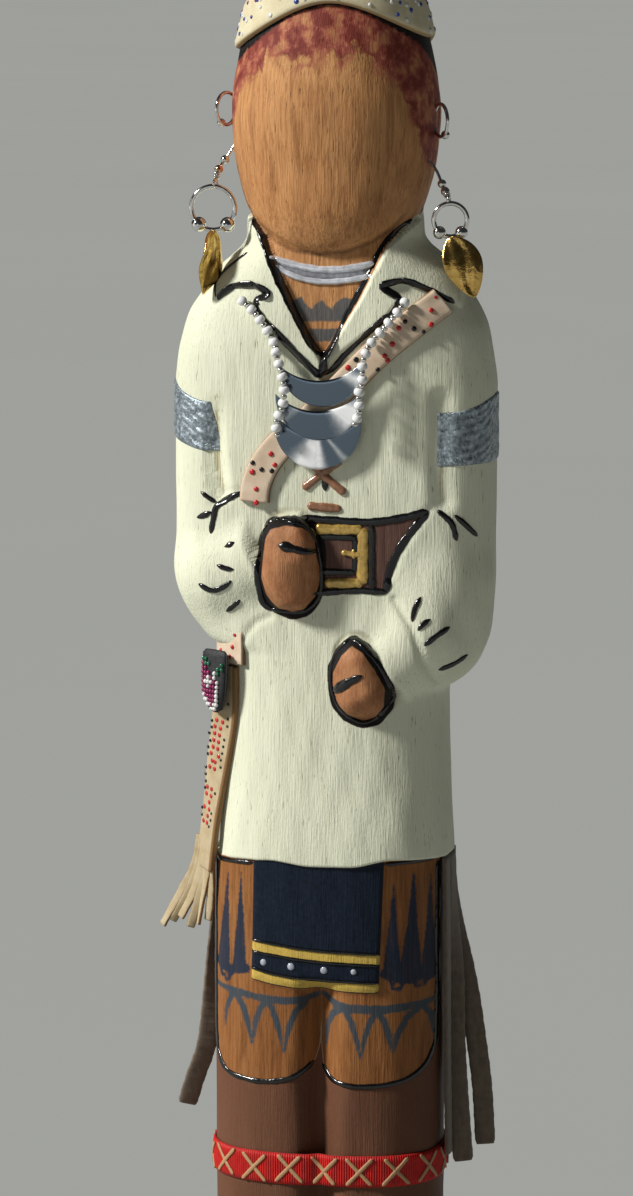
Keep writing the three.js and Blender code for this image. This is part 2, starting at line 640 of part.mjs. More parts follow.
function earDrop(points) {
  const wire = strandAlong(points, () => earWireRadius, 5, 5);
  const beads = [points[2], points[3]].map((point) => ballAt(point, smallBeadRadius, 1));
  return trimmed(joined([wire, ...beads]));
}
function ringWithBalls(centre, radius, ballRadius, turn) {
  const parts = [ringAt(centre, radius, ringWireRadius, turn)];
  for (const side of [-1, 1]) {
    const angle = -Math.PI / 2 + side * 0.72;
    const at = vector(radius * Math.cos(angle) * Math.cos(turn), radius * Math.cos(angle) * Math.sin(turn),
      radius * Math.sin(angle));
    parts.push(ballAt(centre.clone().add(at), ballRadius, 1));
  }
  return joined(parts);
}
function leaf(top, bottom, turn) {
  const line = new THREE.CatmullRomCurve3([top, top.clone().lerp(bottom, 0.5).add(vector(0.6, 0, 0)), bottom]);
  const rings = [];
  const steps = 8;
  for (let i = 0; i <= steps; i++) {
    const t = i / steps;
    const forward = line.getTangentAt(t);
    const angle = turn + 0.5 * (t - 0.5);
    const across = vector(Math.cos(angle), Math.sin(angle), 0);
    across.addScaledVector(forward, -across.dot(forward)).normalize();
    const over = forward.clone().cross(across);
    const swell = 0.08 + 0.92 * Math.sin(Math.PI * t ** 0.85) ** 0.8;
    rings.push(ringOf(line.getPointAt(t), across, over, (swell * leafWide) / 2, (swell * leafThick) / 2 + 0.15, 6));
  }
  return loft(rings, false);
}
const leftDrop = [
  doll(-22.6, -6, 340.2), doll(-25.4, -6.8, 336), doll(-26.7, -7.4, 333.9), doll(-28, -9, 331.6),
  doll(-28.4, -11.4, 328.8),
];
const rightDrop = [
  doll(23, -6, 335.6), doll(26.2, -7, 331.6), doll(27.6, -7.8, 328.6), doll(28.6, -9, 326.8),
  doll(29.8, -11, 325.3),
];
addPiece("ear_drop_left", earDrop(leftDrop), ...silver);
addPiece("ear_drop_right", earDrop(rightDrop), ...silver);
// The ring hangs from the end of the wire, clear of it by the gap
const hang = earWireRadius + ringWireRadius + touchGap;
const ringUnder = (end, radius, x) => end.clone().add(vector(x * hang, -0.4 * hang, -0.85 * hang - radius));
const leftRingCentre = ringUnder(leftDrop[4], leftRingRadius, -0.35);
const rightRingCentre = ringUnder(rightDrop[4], rightRingRadius, 0.35);
addPiece("ear_ring_left", ringWithBalls(leftRingCentre, leftRingRadius, leftBallRadius, 0.1), ...silver);
addPiece("ear_ring_right", ringWithBalls(rightRingCentre, rightRingRadius, rightBallRadius, 0.2), ...silver);
const gold = [0xc89a3a, 0.3, 1];
function leafBelow(centre, radius, lean, turn) {
  const top = centre.clone().add(vector(0, -ringWireRadius - touchGap - 0.2, -radius));
  const bottom = top.clone().add(vector(lean * leafLong, -0.1 * leafLong, -Math.sqrt(0.99 - lean * lean) * leafLong));
  return leaf(top, bottom, turn);
}
addPiece("ear_leaf_left", leafBelow(leftRingCentre, leftRingRadius, -0.13, 1.15), ...gold);
addPiece("ear_leaf_right", leafBelow(rightRingCentre, rightRingRadius, 0.4, 0.1), ...gold);

// Suede laces: flat cords that come out under the shirt's hem and hang free
function lace(points, turnAt) {
  const line = new THREE.CatmullRomCurve3(points);
  const rings = [];
  const steps = 8;
  for (let i = 0; i <= steps; i++) {
    const t = i / steps;
    const forward = line.getTangentAt(t);
    const angle = turnAt(t);
    const across = vector(Math.cos(angle), Math.sin(angle), 0);
    across.addScaledVector(forward, -across.dot(forward)).normalize();
    const over = forward.clone().cross(across);
    rings.push(ringOf(line.getPointAt(t), across, over, laceWide / 2 / 0.924, laceThick / 2 / 0.924, 8));
  }
  return loft(rings, false);
}
const suede = [0x8a7a68, 0.95, 0];
const laceRoutes = {
  lace_left: [
    [-31.6, 4, 157.8], [-31.8, 4, 140], [-32.4, 3.5, 125], [-33, 3, 115], [-34.4, 3, 105], [-37.2, 3, 97], [-39.3, 3, 90],
  ],
  lace_right_near: [[28.9, -4, 157.9], [29.2, -4, 134], [29.4, -4, 108], [29.8, -4, 82]],
  lace_right_middle: [[29.2, 2, 157.9], [30.2, 2, 127], [30.7, 1.5, 109], [31.5, 1, 97], [32.9, 1, 78.6]],
  lace_right_outer: [
    [28.7, 8, 157.9], [29.2, 7.6, 147], [30.4, 7, 137], [32.2, 6.7, 128], [33.8, 6.5, 119.9], [35.3, 6.2, 110],
    [36.9, 6, 98], [37.9, 6, 82],
  ],
};
const laceTurns = {
  lace_left: (t) => 1.5 - 1.1 * ease(0.1, 0.7, t),
  lace_right_near: () => 1.5,
  lace_right_middle: (t) => 1.5 - 1.2 * ease(0.05, 0.5, t),
  lace_right_outer: (t) => 1.5 - 1.3 * ease(0.05, 0.5, t),
};
for (const [name, route] of Object.entries(laceRoutes)) {
  addPiece(name, lace(route.map(([x, y, z]) => doll(x, y, z)), laceTurns[name]), ...suede);
}

export default group;
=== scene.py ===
# The carved and painted doll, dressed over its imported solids. Blender works in metres, +Z up, and the
# doll faces -Y. The tables of the carving are in millimetres from its soles, as a carver measures them.
import bpy
import numpy as np
from mathutils import Matrix, Vector


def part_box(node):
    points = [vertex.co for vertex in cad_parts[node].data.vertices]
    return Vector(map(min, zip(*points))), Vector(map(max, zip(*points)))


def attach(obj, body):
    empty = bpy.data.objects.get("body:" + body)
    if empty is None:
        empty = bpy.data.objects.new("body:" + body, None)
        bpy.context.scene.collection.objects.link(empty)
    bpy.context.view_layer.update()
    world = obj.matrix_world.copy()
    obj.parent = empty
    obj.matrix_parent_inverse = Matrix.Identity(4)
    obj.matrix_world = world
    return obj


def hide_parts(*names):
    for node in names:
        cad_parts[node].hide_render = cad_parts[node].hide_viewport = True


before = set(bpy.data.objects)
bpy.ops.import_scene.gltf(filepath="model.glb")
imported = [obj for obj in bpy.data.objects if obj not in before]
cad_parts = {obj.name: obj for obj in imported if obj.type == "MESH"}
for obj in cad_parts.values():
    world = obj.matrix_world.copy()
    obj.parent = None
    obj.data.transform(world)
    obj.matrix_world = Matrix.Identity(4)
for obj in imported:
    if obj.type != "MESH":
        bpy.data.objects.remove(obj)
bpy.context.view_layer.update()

mm = 0.001
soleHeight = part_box("base")[1][2]
tableHeight = 394
figureScale = (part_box("carved_figure")[1][2] - soleHeight) / (tableHeight * mm)
chance = np.random.default_rng(7)


# Small maths on whole arrays

def ease(low, high, v):  # 0 below low, 1 above high, a smooth S between them
    t = np.clip((v - low) / (high - low), 0, 1)
    return t * t * (3 - 2 * t)


def softMin(a, b, k):  # the smaller value, rounded where the two are within k
    h = np.maximum(k - np.abs(a - b), 0) / k
    return np.minimum(a, b) - h * h * k / 4


def softMax(a, b, k):  # the larger value, rounded in the same way
    return -softMin(-a, -b, k)


def unit(v):  # each vector over its length
    return v / (np.linalg.norm(v, axis=-1, keepdims=True) + 1e-12)


def along(rows, at):  # a smooth curve through [height, value] rows that never overshoots a row
    rows = np.asarray(rows, float)
    heights, values = rows[:, 0], rows[:, 1]
    at = np.clip(at, heights[0], heights[-1])
    i = np.clip(np.searchsorted(heights, at, side="right") - 1, 0, len(heights) - 2)
    step = np.diff(heights)
    rise = np.diff(values) / step
    both = rise[1:] * rise[:-1]
    inner = np.where(both > 0, 2 * both / (rise[1:] + rise[:-1] + 1e-12), 0)
    slope = np.concatenate([rise[:1], inner, rise[-1:]])
    t = (at - heights[i]) / step[i]
    start = (2 * t**3 - 3 * t**2 + 1) * values[i] + (t**3 - 2 * t**2 + t) * step[i] * slope[i]
    return start + (3 * t**2 - 2 * t**3) * values[i + 1] + (t**3 - t**2) * step[i] * slope[i + 1]


def smoothLine(points, count, closed=False):  # even steps on a smooth curve through given points
    points = np.asarray(points, float)
    total = len(points)
    if closed:
        points = np.concatenate([points[-3:], points, points[:4]])
    knots = np.concatenate([[0], np.cumsum(np.linalg.norm(np.diff(points, axis=0), axis=1) ** 0.8)])
    slope = np.gradient(points, knots, axis=0)
    first, last = (knots[3], knots[3 + total]) if closed else (0, knots[-1])
    fine = np.linspace(first, last, 8 * count)
    i = np.clip(np.searchsorted(knots, fine, side="right") - 1, 0, len(knots) - 2)
    step = (knots[i + 1] - knots[i])[:, None]
    t = (fine - knots[i])[:, None] / step
    line = (2 * t**3 - 3 * t**2 + 1) * points[i] + (t**3 - 2 * t**2 + t) * step * slope[i]
    line += (3 * t**2 - 2 * t**3) * points[i + 1] + (t**3 - t**2) * step * slope[i + 1]
    run = np.concatenate([[0], np.cumsum(np.linalg.norm(np.diff(line, axis=0), axis=1))])
    even = np.linspace(0, run[-1], count, endpoint=not closed)
    return np.stack([np.interp(even, run, line[:, k]) for k in range(points.shape[1])], -1)


def lengthOf(line):  # the sum of a line's steps
    return float(np.linalg.norm(np.diff(line, axis=0), axis=1).sum())


def wobble(run, seed):  # a gentle unevenness along a length, between about -1 and 1
    wave = 0.5 * np.sin(run * 1.3 + seed) + 0.3 * np.sin(run * 2.9 + 2 * seed)
    return wave + 0.2 * np.sin(run * 6.1 + 3 * seed)


# Meshes: a shape is (points in mm, quads, triangles), and several shapes join into one piece

def gridFaces(rows, columns, closeRows=False, closeColumns=False):  # quads between neighbours of a grid
    i = np.arange(rows if closeRows else rows - 1)[:, None]
    j = np.arange(columns if closeColumns else columns - 1)[None, :]
    nextRow, nextColumn = (i + 1) % rows, (j + 1) % columns
    here, below = i * columns, nextRow * columns
    corners = [here + j, here + nextColumn, below + nextColumn, below + j]
    return np.stack(np.broadcast_arrays(*corners), -1).reshape(-1, 4)


def outwards(points, quads, triangles):  # turns a closed shape whose signed volume is negative
    fans = np.concatenate([quads[:, [0, 1, 2]], quads[:, [0, 2, 3]], triangles])
    a, b, c = (points[fans[:, k]] - points.mean(0) for k in range(3))
    if np.einsum("ij,ij->i", a, np.cross(b, c)).sum() < 0:
        return points, quads[:, ::-1], triangles[:, ::-1]
    return points, quads, triangles


def closedGrid(grid, ring=True, loops=False):  # rows of rings, with a middle point at each open end
    rows, columns = grid.shape[:2]
    points = grid.reshape(-1, 3)
    quads = gridFaces(rows, columns, loops, ring)
    triangles = np.zeros((0, 3), int)
    if not loops:
        j = np.arange(columns)
        first, last = len(points), len(points) + 1
        start = (rows - 1) * columns
        lower = np.stack([(j + 1) % columns, j, np.full(columns, first)], -1)
        upper = np.stack([start + j, start + (j + 1) % columns, np.full(columns, last)], -1)
        points = np.concatenate([points, [grid[0].mean(0), grid[-1].mean(0)]])
        triangles = np.concatenate([lower, upper])
    return outwards(points, quads, triangles)


def tube(line, across, over, halfWide, halfHigh, sides=10, square=2.0, loops=False):
    # the section |x/halfWide|^square + |y/halfHigh|^square = 1 carried along a line, its ends closed
    turn = 2 * np.pi * (np.arange(sides) + 0.5) / sides
    c, s = np.cos(turn), np.sin(turn)
    c, s = np.sign(c) * np.abs(c) ** (2 / square), np.sign(s) * np.abs(s) ** (2 / square)
    halfWide, halfHigh = (np.broadcast_to(v, len(line))[:, None] for v in (halfWide, halfHigh))
    sideways = across[:, None] * (halfWide * c)[..., None]
    return closedGrid(line[:, None] + sideways + over[:, None] * (halfHigh * s)[..., None], loops=loops)


def turned(profile, count=48):  # (radius, height) rows turned round the z axis
    profile = np.asarray(profile, float)
    turn = 2 * np.pi * np.arange(count) / count
    x = profile[:, :1] * np.cos(turn)
    y = profile[:, :1] * np.sin(turn)
    return closedGrid(np.stack([x, y, np.broadcast_to(profile[:, 1:], x.shape)], -1))


def frameOf(line, hint):  # directions along a line, across it and over it, from a hint of the across one
    forward = unit(np.gradient(line, axis=0))
    across = unit(hint - forward * np.sum(hint * forward, -1, keepdims=True))
    return forward, across, np.cross(forward, across)


def copies(shape, centres, xs, ys, zs):  # one small shape repeated in the given frames
    points, quads, triangles = shape
    count, size = len(centres), len(points)
    placed = centres[:, None] + points[None, :, :1] * xs[:, None] + points[None, :, 1:2] * ys[:, None]
    placed = placed + points[None, :, 2:] * zs[:, None]
    offsets = (np.arange(count) * size)[:, None, None]
    return placed.reshape(-1, 3), (quads + offsets).reshape(-1, 4), (triangles + offsets).reshape(-1, 3)


def joined(shapes):  # several shapes in one mesh
    starts = np.cumsum([0] + [len(s[0]) for s in shapes[:-1]])
    points = np.concatenate([s[0] for s in shapes])
    quads = np.concatenate([s[1] + n for s, n in zip(shapes, starts)])
    return points, quads, np.concatenate([s[2] + n for s, n in zip(shapes, starts)])


def ballShape(rings, sides):  # a ball of radius 1: rings of points at even angles between its poles
    rise = np.linspace(-np.pi / 2, np.pi / 2, rings + 1)[1:-1, None]
    turn = 2 * np.pi * np.arange(sides) / sides
    height = np.repeat(np.sin(rise), sides, 1)
    grid = np.stack([np.cos(rise) * np.cos(turn), np.cos(rise) * np.sin(turn), height], -1)
    points, quads, triangles = closedGrid(grid)
    points[-2:, 2] = [-1, 1]
    return points, quads, triangles


def ballAt(centre, radius):  # a round ball at a point
    points, quads, triangles = ballShape(14, 20)
    return points * radius + np.asarray(centre, float), quads, triangles


def place(points):  # figure millimetres to metres, standing on the base
    return np.asarray(points, float) * mm * figureScale + np.array([0, 0, soleHeight])


def makePiece(name, shape, material, slot, *nodes, attributes=None):  # one object; it stands for the nodes
    points, quads, triangles = shape
    mesh = bpy.data.meshes.new(name)
    mesh.from_pydata(place(points).tolist(), [], quads.tolist() + triangles.tolist())
    mesh.polygons.foreach_set("use_smooth", np.ones(len(mesh.polygons), bool))
    for key, values in (attributes or {}).items():
        mesh.attributes.new(key, "FLOAT", "POINT").data.foreach_set("value", np.asarray(values, np.float32))
    mesh.materials.append(material)
    mesh.update()
    piece = bpy.data.objects.new(name, mesh)
    bpy.context.scene.collection.objects.link(piece)
    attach(piece, "root")
    if nodes:
        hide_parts(*nodes)
    return piece


# Camera and light

cameraView = {  # degrees, metres and pixels; axisRight is how far right of the middle the doll's axis shows
    "azimuth": 9.5, "elevation": 9.0, "distance": 1.21, "pixelsPerMetre": 3970.0,
    "middleHeight": 0.2385, "axisRight": 19.5, "photoHigh": 1196, "sensor": 24.0,
}


def setCamera():  # looks at the doll's middle height, with the focal length that gives the pixels per metre
    turn, rise = np.radians([cameraView["azimuth"], cameraView["elevation"]])
    right = Vector((np.cos(turn), np.sin(turn), 0))
    ahead = Vector((-np.sin(turn) * np.cos(rise), np.cos(turn) * np.cos(rise), -np.sin(rise)))
    up = right.cross(ahead)
    aside = cameraView["axisRight"] / cameraView["pixelsPerMetre"]
    aim = Vector((0, 0, cameraView["middleHeight"])) - right * aside
    data = bpy.data.cameras.new("camera")
    data.sensor_fit = "VERTICAL"
    data.sensor_height = cameraView["sensor"]
    focal = cameraView["pixelsPerMetre"] * cameraView["distance"]
    data.lens = focal / cameraView["photoHigh"] * cameraView["sensor"]
    camera = bpy.data.objects.new("camera", data)
    camera.matrix_world = Matrix.Translation(aim - ahead * cameraView["distance"]) @ Matrix(
        (right, up, -ahead)).transposed().to_4x4()
    bpy.context.scene.collection.objects.link(camera)
    bpy.context.scene.camera = camera


lightPlan = {  # soft cards that face the doll's chest
    "card": {"at": (-0.55, -3.0, 0.42), "size": 1.2, "watts": 2.2, "color": (0.96, 0.98, 1.0)},
    "sideCard": {"at": (-1.6, -0.5, 0.5), "size": 0.7, "watts": 1.5, "color": (1.0, 0.99, 0.97)},
}
sunLight = {"turn": -62.0, "rise": 36.0, "soft": 0.16, "strength": 4.2, "color": (1.0, 0.985, 0.95)}
worldLight = {"color": (0.80, 0.84, 0.88), "strength": 0.035}
lightAim = 0.28  # height of the chest, in metres


def setLights():  # a low sun from the left, two cards to soften it and a dim world
    data = bpy.data.lights.new("key", "SUN")
    data.energy = sunLight["strength"]
    data.angle = sunLight["soft"]
    data.color = sunLight["color"]
    turn, rise = np.radians([sunLight["turn"], sunLight["rise"]])
    toSun = Vector((np.sin(turn) * np.cos(rise), -np.cos(turn) * np.cos(rise), np.sin(rise)))
    sun = bpy.data.objects.new("key", data)
    sun.rotation_euler = (-toSun).to_track_quat("-Z", "Y").to_euler()
    bpy.context.scene.collection.objects.link(sun)
    for name, plan in lightPlan.items():
        data = bpy.data.lights.new(name, "AREA")
        data.size = plan["size"]
        data.energy = plan["watts"]
        data.color = plan["color"]
        light = bpy.data.objects.new(name, data)
        light.location = plan["at"]
        aim = Vector((0, 0, lightAim)) - light.location
        light.rotation_euler = aim.to_track_quat("-Z", "Y").to_euler()
        bpy.context.scene.collection.objects.link(light)
    world = bpy.data.worlds.new("studio")
    bpy.context.scene.world = world
    world.use_nodes = True
    background = world.node_tree.nodes["Background"]
    background.inputs[0].default_value = (*worldLight["color"], 1)
    background.inputs[1].default_value = worldLight["strength"]
    bpy.context.scene.view_settings.view_transform = "Standard"


setCamera()
setLights()
print("camera and lights set")


# Materials

def newMaterial(name, **values):  # values are set on the shader's own sockets
    material = bpy.data.materials.new(name)
    material.use_nodes = True
    tree = material.node_tree
    shader = tree.nodes["Principled BSDF"]
    for key, value in values.items():
        socket = shader.inputs[key.replace("_", " ")]
        socket.default_value = (*value, 1) if isinstance(value, tuple) else value
    return material, tree, shader


def addNode(tree, kind, inputs=None, **settings):  # a socket as an input is linked, a value is set
    made = tree.nodes.new("ShaderNode" + kind)
    for key, value in settings.items():
        setattr(made, key, value)
    for key, value in (inputs or {}).items():
        if isinstance(value, bpy.types.NodeSocket):
            tree.links.new(value, made.inputs[key])
        else:
            made.inputs[key].default_value = value
    return made


def calc(tree, operation, a, b=0.0, c=0.0):  # one math node
    return addNode(tree, "Math", {0: a, 1: b, 2: c}, operation=operation).outputs[0]


def blend(tree, factor, a, b, kind="MIX"):  # colour a at factor 0, colour b at 1
    a, b = ((*v, 1) if isinstance(v, tuple) and len(v) == 3 else v for v in (a, b))
    return addNode(tree, "Mix", {0: factor, 6: a, 7: b}, data_type="RGBA", blend_type=kind).outputs[2]


def spread(tree, value, low, high, toLow=0.0, toHigh=1.0):  # low to high becomes toLow to toHigh, clamped
    inputs = {0: value, 1: low, 2: high, 3: toLow, 4: toHigh}
    return addNode(tree, "MapRange", inputs, clamp=True).outputs[0]


def coordinates(tree, scale):  # object coordinates in millimetres, stretched by scale
    metres = addNode(tree, "TexCoord").outputs["Object"]
    stretch = tuple(s / mm for s in scale)
    return addNode(tree, "Mapping", {"Vector": metres, "Scale": stretch}).outputs[0]


def noise(tree, vector, scale, detail=3.0, rough=0.55, twist=0.0):
    inputs = {"Vector": vector, "Scale": scale, "Detail": detail, "Roughness": rough, "Distortion": twist}
    return addNode(tree, "TexNoise", inputs).outputs[0]


def stored(tree, name):  # a value kept on each point of the piece
    return addNode(tree, "Attribute", attribute_name=name).outputs["Fac"]


def addBump(tree, shader, height, strength, depth):  # depth in millimetres
    made = addNode(tree, "Bump", {"Strength": strength, "Distance": depth * mm, "Height": height})
    tree.links.new(made.outputs[0], shader.inputs["Normal"])


def paint(name, color, darker=0.75, roughness=0.3, metallic=0.0, coat=0.0, grain=1.2, depth=0.05):
    # brushed-on paint: the colour drifts a little and the surface keeps brush marks
    material, tree, shader = newMaterial(name, Roughness=roughness, Metallic=metallic, Coat_Weight=coat)
    cloud = noise(tree, coordinates(tree, (1, 1, 1)), grain, 4)
    shade = tuple(c * darker for c in color)
    tree.links.new(blend(tree, spread(tree, cloud, 0.35, 0.7), shade, color), shader.inputs["Base Color"])
    addBump(tree, shader, cloud, 0.6, depth)
    return material


def dotPaint(name, color, darker=0.7, roughness=0.28):
    return paint(name, color, darker, roughness, coat=0.3)


blackPaint = paint("gloss black paint", (0.006, 0.006, 0.007), 0.6, 0.2, coat=0.15, grain=0.7, depth=0.14)
goldPaint = paint("gold paint", (0.72, 0.47, 0.12), 0.6, 0.28, 0.45, 0.4, grain=0.9, depth=0.14)
# the neck band's silver paint in two tones: painted highlight on its ridges, painted shade in its dished
# middle
highlitSilverPaint = paint("silver paint", (0.88, 0.91, 0.98), 0.62, 0.15, 0.35, 0.8, grain=0.5, depth=0.2)
shadedSilverPaint = paint("dull silver paint", (0.44, 0.44, 0.47), 0.55, 0.25, 0.6, 0.2, grain=0.6, depth=0.16)
copperPaint = paint("lacing paint", (0.36, 0.17, 0.09), 0.65, 0.30, 0.15, 0.3, grain=1.0, depth=0.1)
redPaint = dotPaint("red dots", (0.60, 0.02, 0.02))
bluePaint = dotPaint("blue dots", (0.03, 0.07, 0.36))
whitePaint = dotPaint("white dots", (0.80, 0.80, 0.78), 0.8, 0.3)
plumPaint = dotPaint("magenta dots", (0.28, 0.01, 0.10), roughness=0.3)
greenPaint = dotPaint("green beads", (0.02, 0.16, 0.08), roughness=0.2)
greyDots = dotPaint("pale dots", (0.45, 0.47, 0.55), roughness=0.3)
stitchThread = paint("tan stitches", (0.50, 0.29, 0.135), 0.75, 0.6, grain=2.0, depth=0.08)


# Laces: flat suede cords that come out under the shirt's hem and hang free

laceSizes = {"wide": 5.2, "thick": 1.3, "under": 1.0, "points": 34, "dense": 6, "fuzz": 0.10, "square": 3.4}
laceRoutes = {
    "lace_left": [
        (-31.6, 4, 157.8), (-31.8, 4, 140), (-32.4, 3.5, 125), (-33, 3, 115), (-34.4, 3, 105),
        (-37.2, 3, 97), (-39.3, 3, 90),
    ],
    "lace_right_near": [(28.9, -4, 157.9), (29.2, -4, 134), (29.4, -4, 108), (29.8, -4, 82)],
    "lace_right_middle": [
        (29.2, 2, 157.9), (30.2, 2, 127), (30.7, 1.5, 109), (31.5, 1, 97), (32.9, 1, 78.6),
    ],
    "lace_right_outer": [
        (28.7, 8, 157.9), (29.2, 7.6, 147), (30.4, 7, 137), (32.2, 6.7, 128), (33.8, 6.5, 119.9),
        (35.3, 6.2, 110), (36.9, 6, 98), (37.9, 6, 82),
    ],
}
laceTurns = {  # the width's first angle, how far it turns, and the shares of the length where it does
    "lace_left": (1.5, 1.1, 0.1, 0.7), "lace_right_near": (1.5, 0, 0, 1),
    "lace_right_middle": (1.5, 1.2, 0.05, 0.5), "lace_right_outer": (1.5, 1.3, 0.05, 0.5),
}


def suedeMaterial():  # clouded brown under a fine grey nap
    material, tree, shader = newMaterial("suede", Roughness=0.95, Sheen_Weight=0.35, Sheen_Roughness=0.6)
    cloud = noise(tree, coordinates(tree, (1, 1, 0.35)), 0.9, 4)
    nap = noise(tree, coordinates(tree, (1, 1, 1)), 7.0, 3, 0.7)
    color = blend(tree, spread(tree, cloud, 0.3, 0.7), (0.075, 0.052, 0.034), (0.150, 0.112, 0.074))
    color = blend(tree, spread(tree, nap, 0.35, 0.65, 0.0, 0.5), color, (0.22, 0.17, 0.115))
    tree.links.new(color, shader.inputs["Base Color"])
    addBump(tree, shader, nap, 0.8, 0.12)
    return material


suede = suedeMaterial()


def makeLace(name, route):
    # a flat rounded bar along the route; its width turns by an eased angle as it falls
    line = smoothLine(route, laceSizes["points"])
    t = np.linspace(0, 1, len(line))
    start, fall, low, high = laceTurns[name]
    angle = start - fall * ease(low, high, t)
    hint = np.stack([np.cos(angle), np.sin(angle), 0 * angle], -1)
    across, over = frameOf(line, hint)[1:]
    fine = np.linspace(0, len(line) - 1, laceSizes["dense"] * len(line))
    spot = np.arange(len(line))
    dense = [np.stack([np.interp(fine, spot, v[:, k]) for k in range(3)], -1) for v in (line, across, over)]
    dense[0][0, 2] += laceSizes["under"]  # the top runs up under the hem
    run = fine / fine[-1] * lengthOf(line)
    wide = laceSizes["wide"] / 2 + laceSizes["fuzz"] * wobble(run * 1.1, len(name))
    wide = wide * (1 - 0.12 * ease(run[-1] - 1.0, run[-1], run))
    thick = laceSizes["thick"] / 2 * (1 + 0.12 * wobble(run, 3))
    shape = tube(*dense, wide, thick, 20, laceSizes["square"])
    piece = makePiece(name + "_suede", shape, suede, "suede", name)


for laceName, laceRoute in laceRoutes.items():
    makeLace(laceName, laceRoute)
print("laces hung")


# The carving: half widths by height, outlines in the front view, and the arms, hands and feet

hem = 159  # the shirt's lower edge
leftSide = [
    [0, 26], [18, 25.4], [34, 26.4], [60, 30.3], [110, 30.3], [hem - 0.4, 30.1], [hem + 0.4, 29.3],
    [180, 28.7], [205, 28.2], [211.6, 28.2], [212.6, 29.4], [214.2, 31.8], [216.9, 34.2], [220, 36.3],
    [224, 38], [229, 39.2],
    [234, 39.8], [256, 40], [277, 40], [285.7, 39.2], [291, 38.1], [296, 36.4], [301.5, 33],
    [305, 30.2], [307.6, 27.6], [310, 24.8], [312.5, 22.2], [315, 21], [320, 20.7], [326, 19], [330, 14],
]
rightSide = [
    [0, 25], [18, 24.2], [34, 25], [60, 27.6], [110, 27.6], [hem - 0.4, 27.4], [hem + 0.4, 29.9], [180, 29],
    [200, 28.6], [202.2, 28.8], [203.2, 30.2], [205, 33], [207.7, 35.6], [211, 37.5], [216, 39.1],
    [222, 39.8], [234, 40.1], [277, 40.2], [284, 39.5], [292.5, 38], [297, 36.2], [302, 33.4],
    [306, 30.6], [308.6, 27.8], [311, 24.8], [313, 22.4], [315.5, 21], [320, 20.7], [326, 19], [330, 14],
]
halfDepth = [
    [0, 16], [18, 17], [34, 18], [60, 20.2], [110, 20.4], [hem - 0.4, 20.2], [hem + 0.4, 21.7], [180, 20.6],
    [210, 19.4], [228, 18.8], [246, 18.6], [285, 18.4], [296, 17.9], [304, 17.4], [310, 17.2],
    [320, 17], [326, 16], [330, 12],
]
squareness = [
    [0, 2.6], [hem, 2.7], [198, 2.6], [214, 2.8], [228, 3.3], [285, 3.3], [298, 3], [308, 2.6], [326, 2.3],
]
headSide = [
    [306, 13], [312, 17.6], [320, 21.1], [324, 22.5], [331, 24.4], [338, 25.5], [346, 25.9], [353, 25.3],
    [359.6, 24], [366, 22.5], [373, 20.6], [380, 18.1], [386, 14.9], [390, 11.3], [392.6, 7], [393.8, 2.6],
    [394, 0.6],
]
carving = {
    "midLeg": -1.1, "neckTop": 325, "headDepth": 0.885, "knifeMarks": 0.10, "scoops": 0.36, "edgeWide": 2.1,
    "lapelHigh": 1.1, "clothHigh": 0.7,
}
hemWave = [[-30, 0], [-20, 0.4], [-13, 0.8], [-3, -0.3], [7, -0.2], [17, 1.5], [26, 1.0], [30, 0.4]]
neckOpening = [
    (-22, 323), (-16, 316), (-10.2, 303.1), (-5.8, 294.2), (-0.6, 285.6), (5, 294.4), (8.7, 300.6),
    (14.9, 313.5), (22, 323),
]
leftLapel = [
    (-0.9, 280.9), (-11.2, 291.1), (-17.2, 299.4), (-14.4, 301.9), (-17.9, 303.6), (-23.4, 303.3),
    (-28.6, 299.2), (-30, 306.7), (-24, 322), (-16, 316), (-10.2, 303.1), (-5.8, 294.2), (-0.6, 285.6),
]
rightLapel = [
    (-0.9, 280.9), (3.8, 287), (15, 296.2), (18.7, 300.7), (14.5, 303.8), (18.9, 305.4), (26.6, 302.5),
    (33, 298.8), (33, 306), (24, 322), (14.9, 313.5), (8.7, 300.6), (5, 294.4), (-0.6, 285.6),
]
breechcloth = [(-17.6, 164), (-18.3, 128.9), (-11, 127.7), (-3, 127), (13.8, 126.6), (15.2, 164)]


def within(points, x, z):  # signed distance in the front view to a closed outline, negative inside
    points = np.asarray(points, float)
    nearest = np.full(np.shape(x), 1e9)
    sign = np.ones(np.shape(x))
    for (ax, az), (bx, bz) in zip(points, np.roll(points, -1, 0)):
        ex, ez, wx, wz = bx - ax, bz - az, x - ax, z - az
        t = np.clip((wx * ex + wz * ez) / (ex * ex + ez * ez), 0, 1)
        nearest = np.minimum(nearest, (wx - t * ex) ** 2 + (wz - t * ez) ** 2)
        above, below, left = z >= az, z < bz, ex * wz > ez * wx
        sign = np.where((above & below & left) | (~above & ~below & ~left), -sign, sign)
    return sign * np.sqrt(nearest)


def fromLine(points, x, z):  # distance in the front view to a line of [x, z, half width] rows
    points = np.asarray(points, float)
    nearest = np.full(np.shape(x), 1e9)
    for a, b in zip(points[:-1], points[1:]):
        ex, ez = b[:2] - a[:2]
        t = np.clip(((x - a[0]) * ex + (z - a[1]) * ez) / (ex * ex + ez * ez), 0, 1)
        reach = np.hypot(x - a[0] - t * ex, z - a[1] - t * ez)
        nearest = np.minimum(nearest, reach - (a[2] + (b[2] - a[2]) * t))
    return nearest


def cutAlong(points, x, z, wide, deep):  # a groove along a line, deep at the line and gone at wide
    return deep * (1 - ease(0, wide, fromLine([(*p, 0) for p in points], x, z)))


def column(x, y, w, d, n):  # distance along the spoke to the rounded rectangle |x/w|^n + |y/d|^n = 1
    size = (np.abs(x / w) ** n + np.abs(y / d) ** n) ** (1 / n) + 1e-9
    return np.hypot(x, y) * (1 - 1 / size)


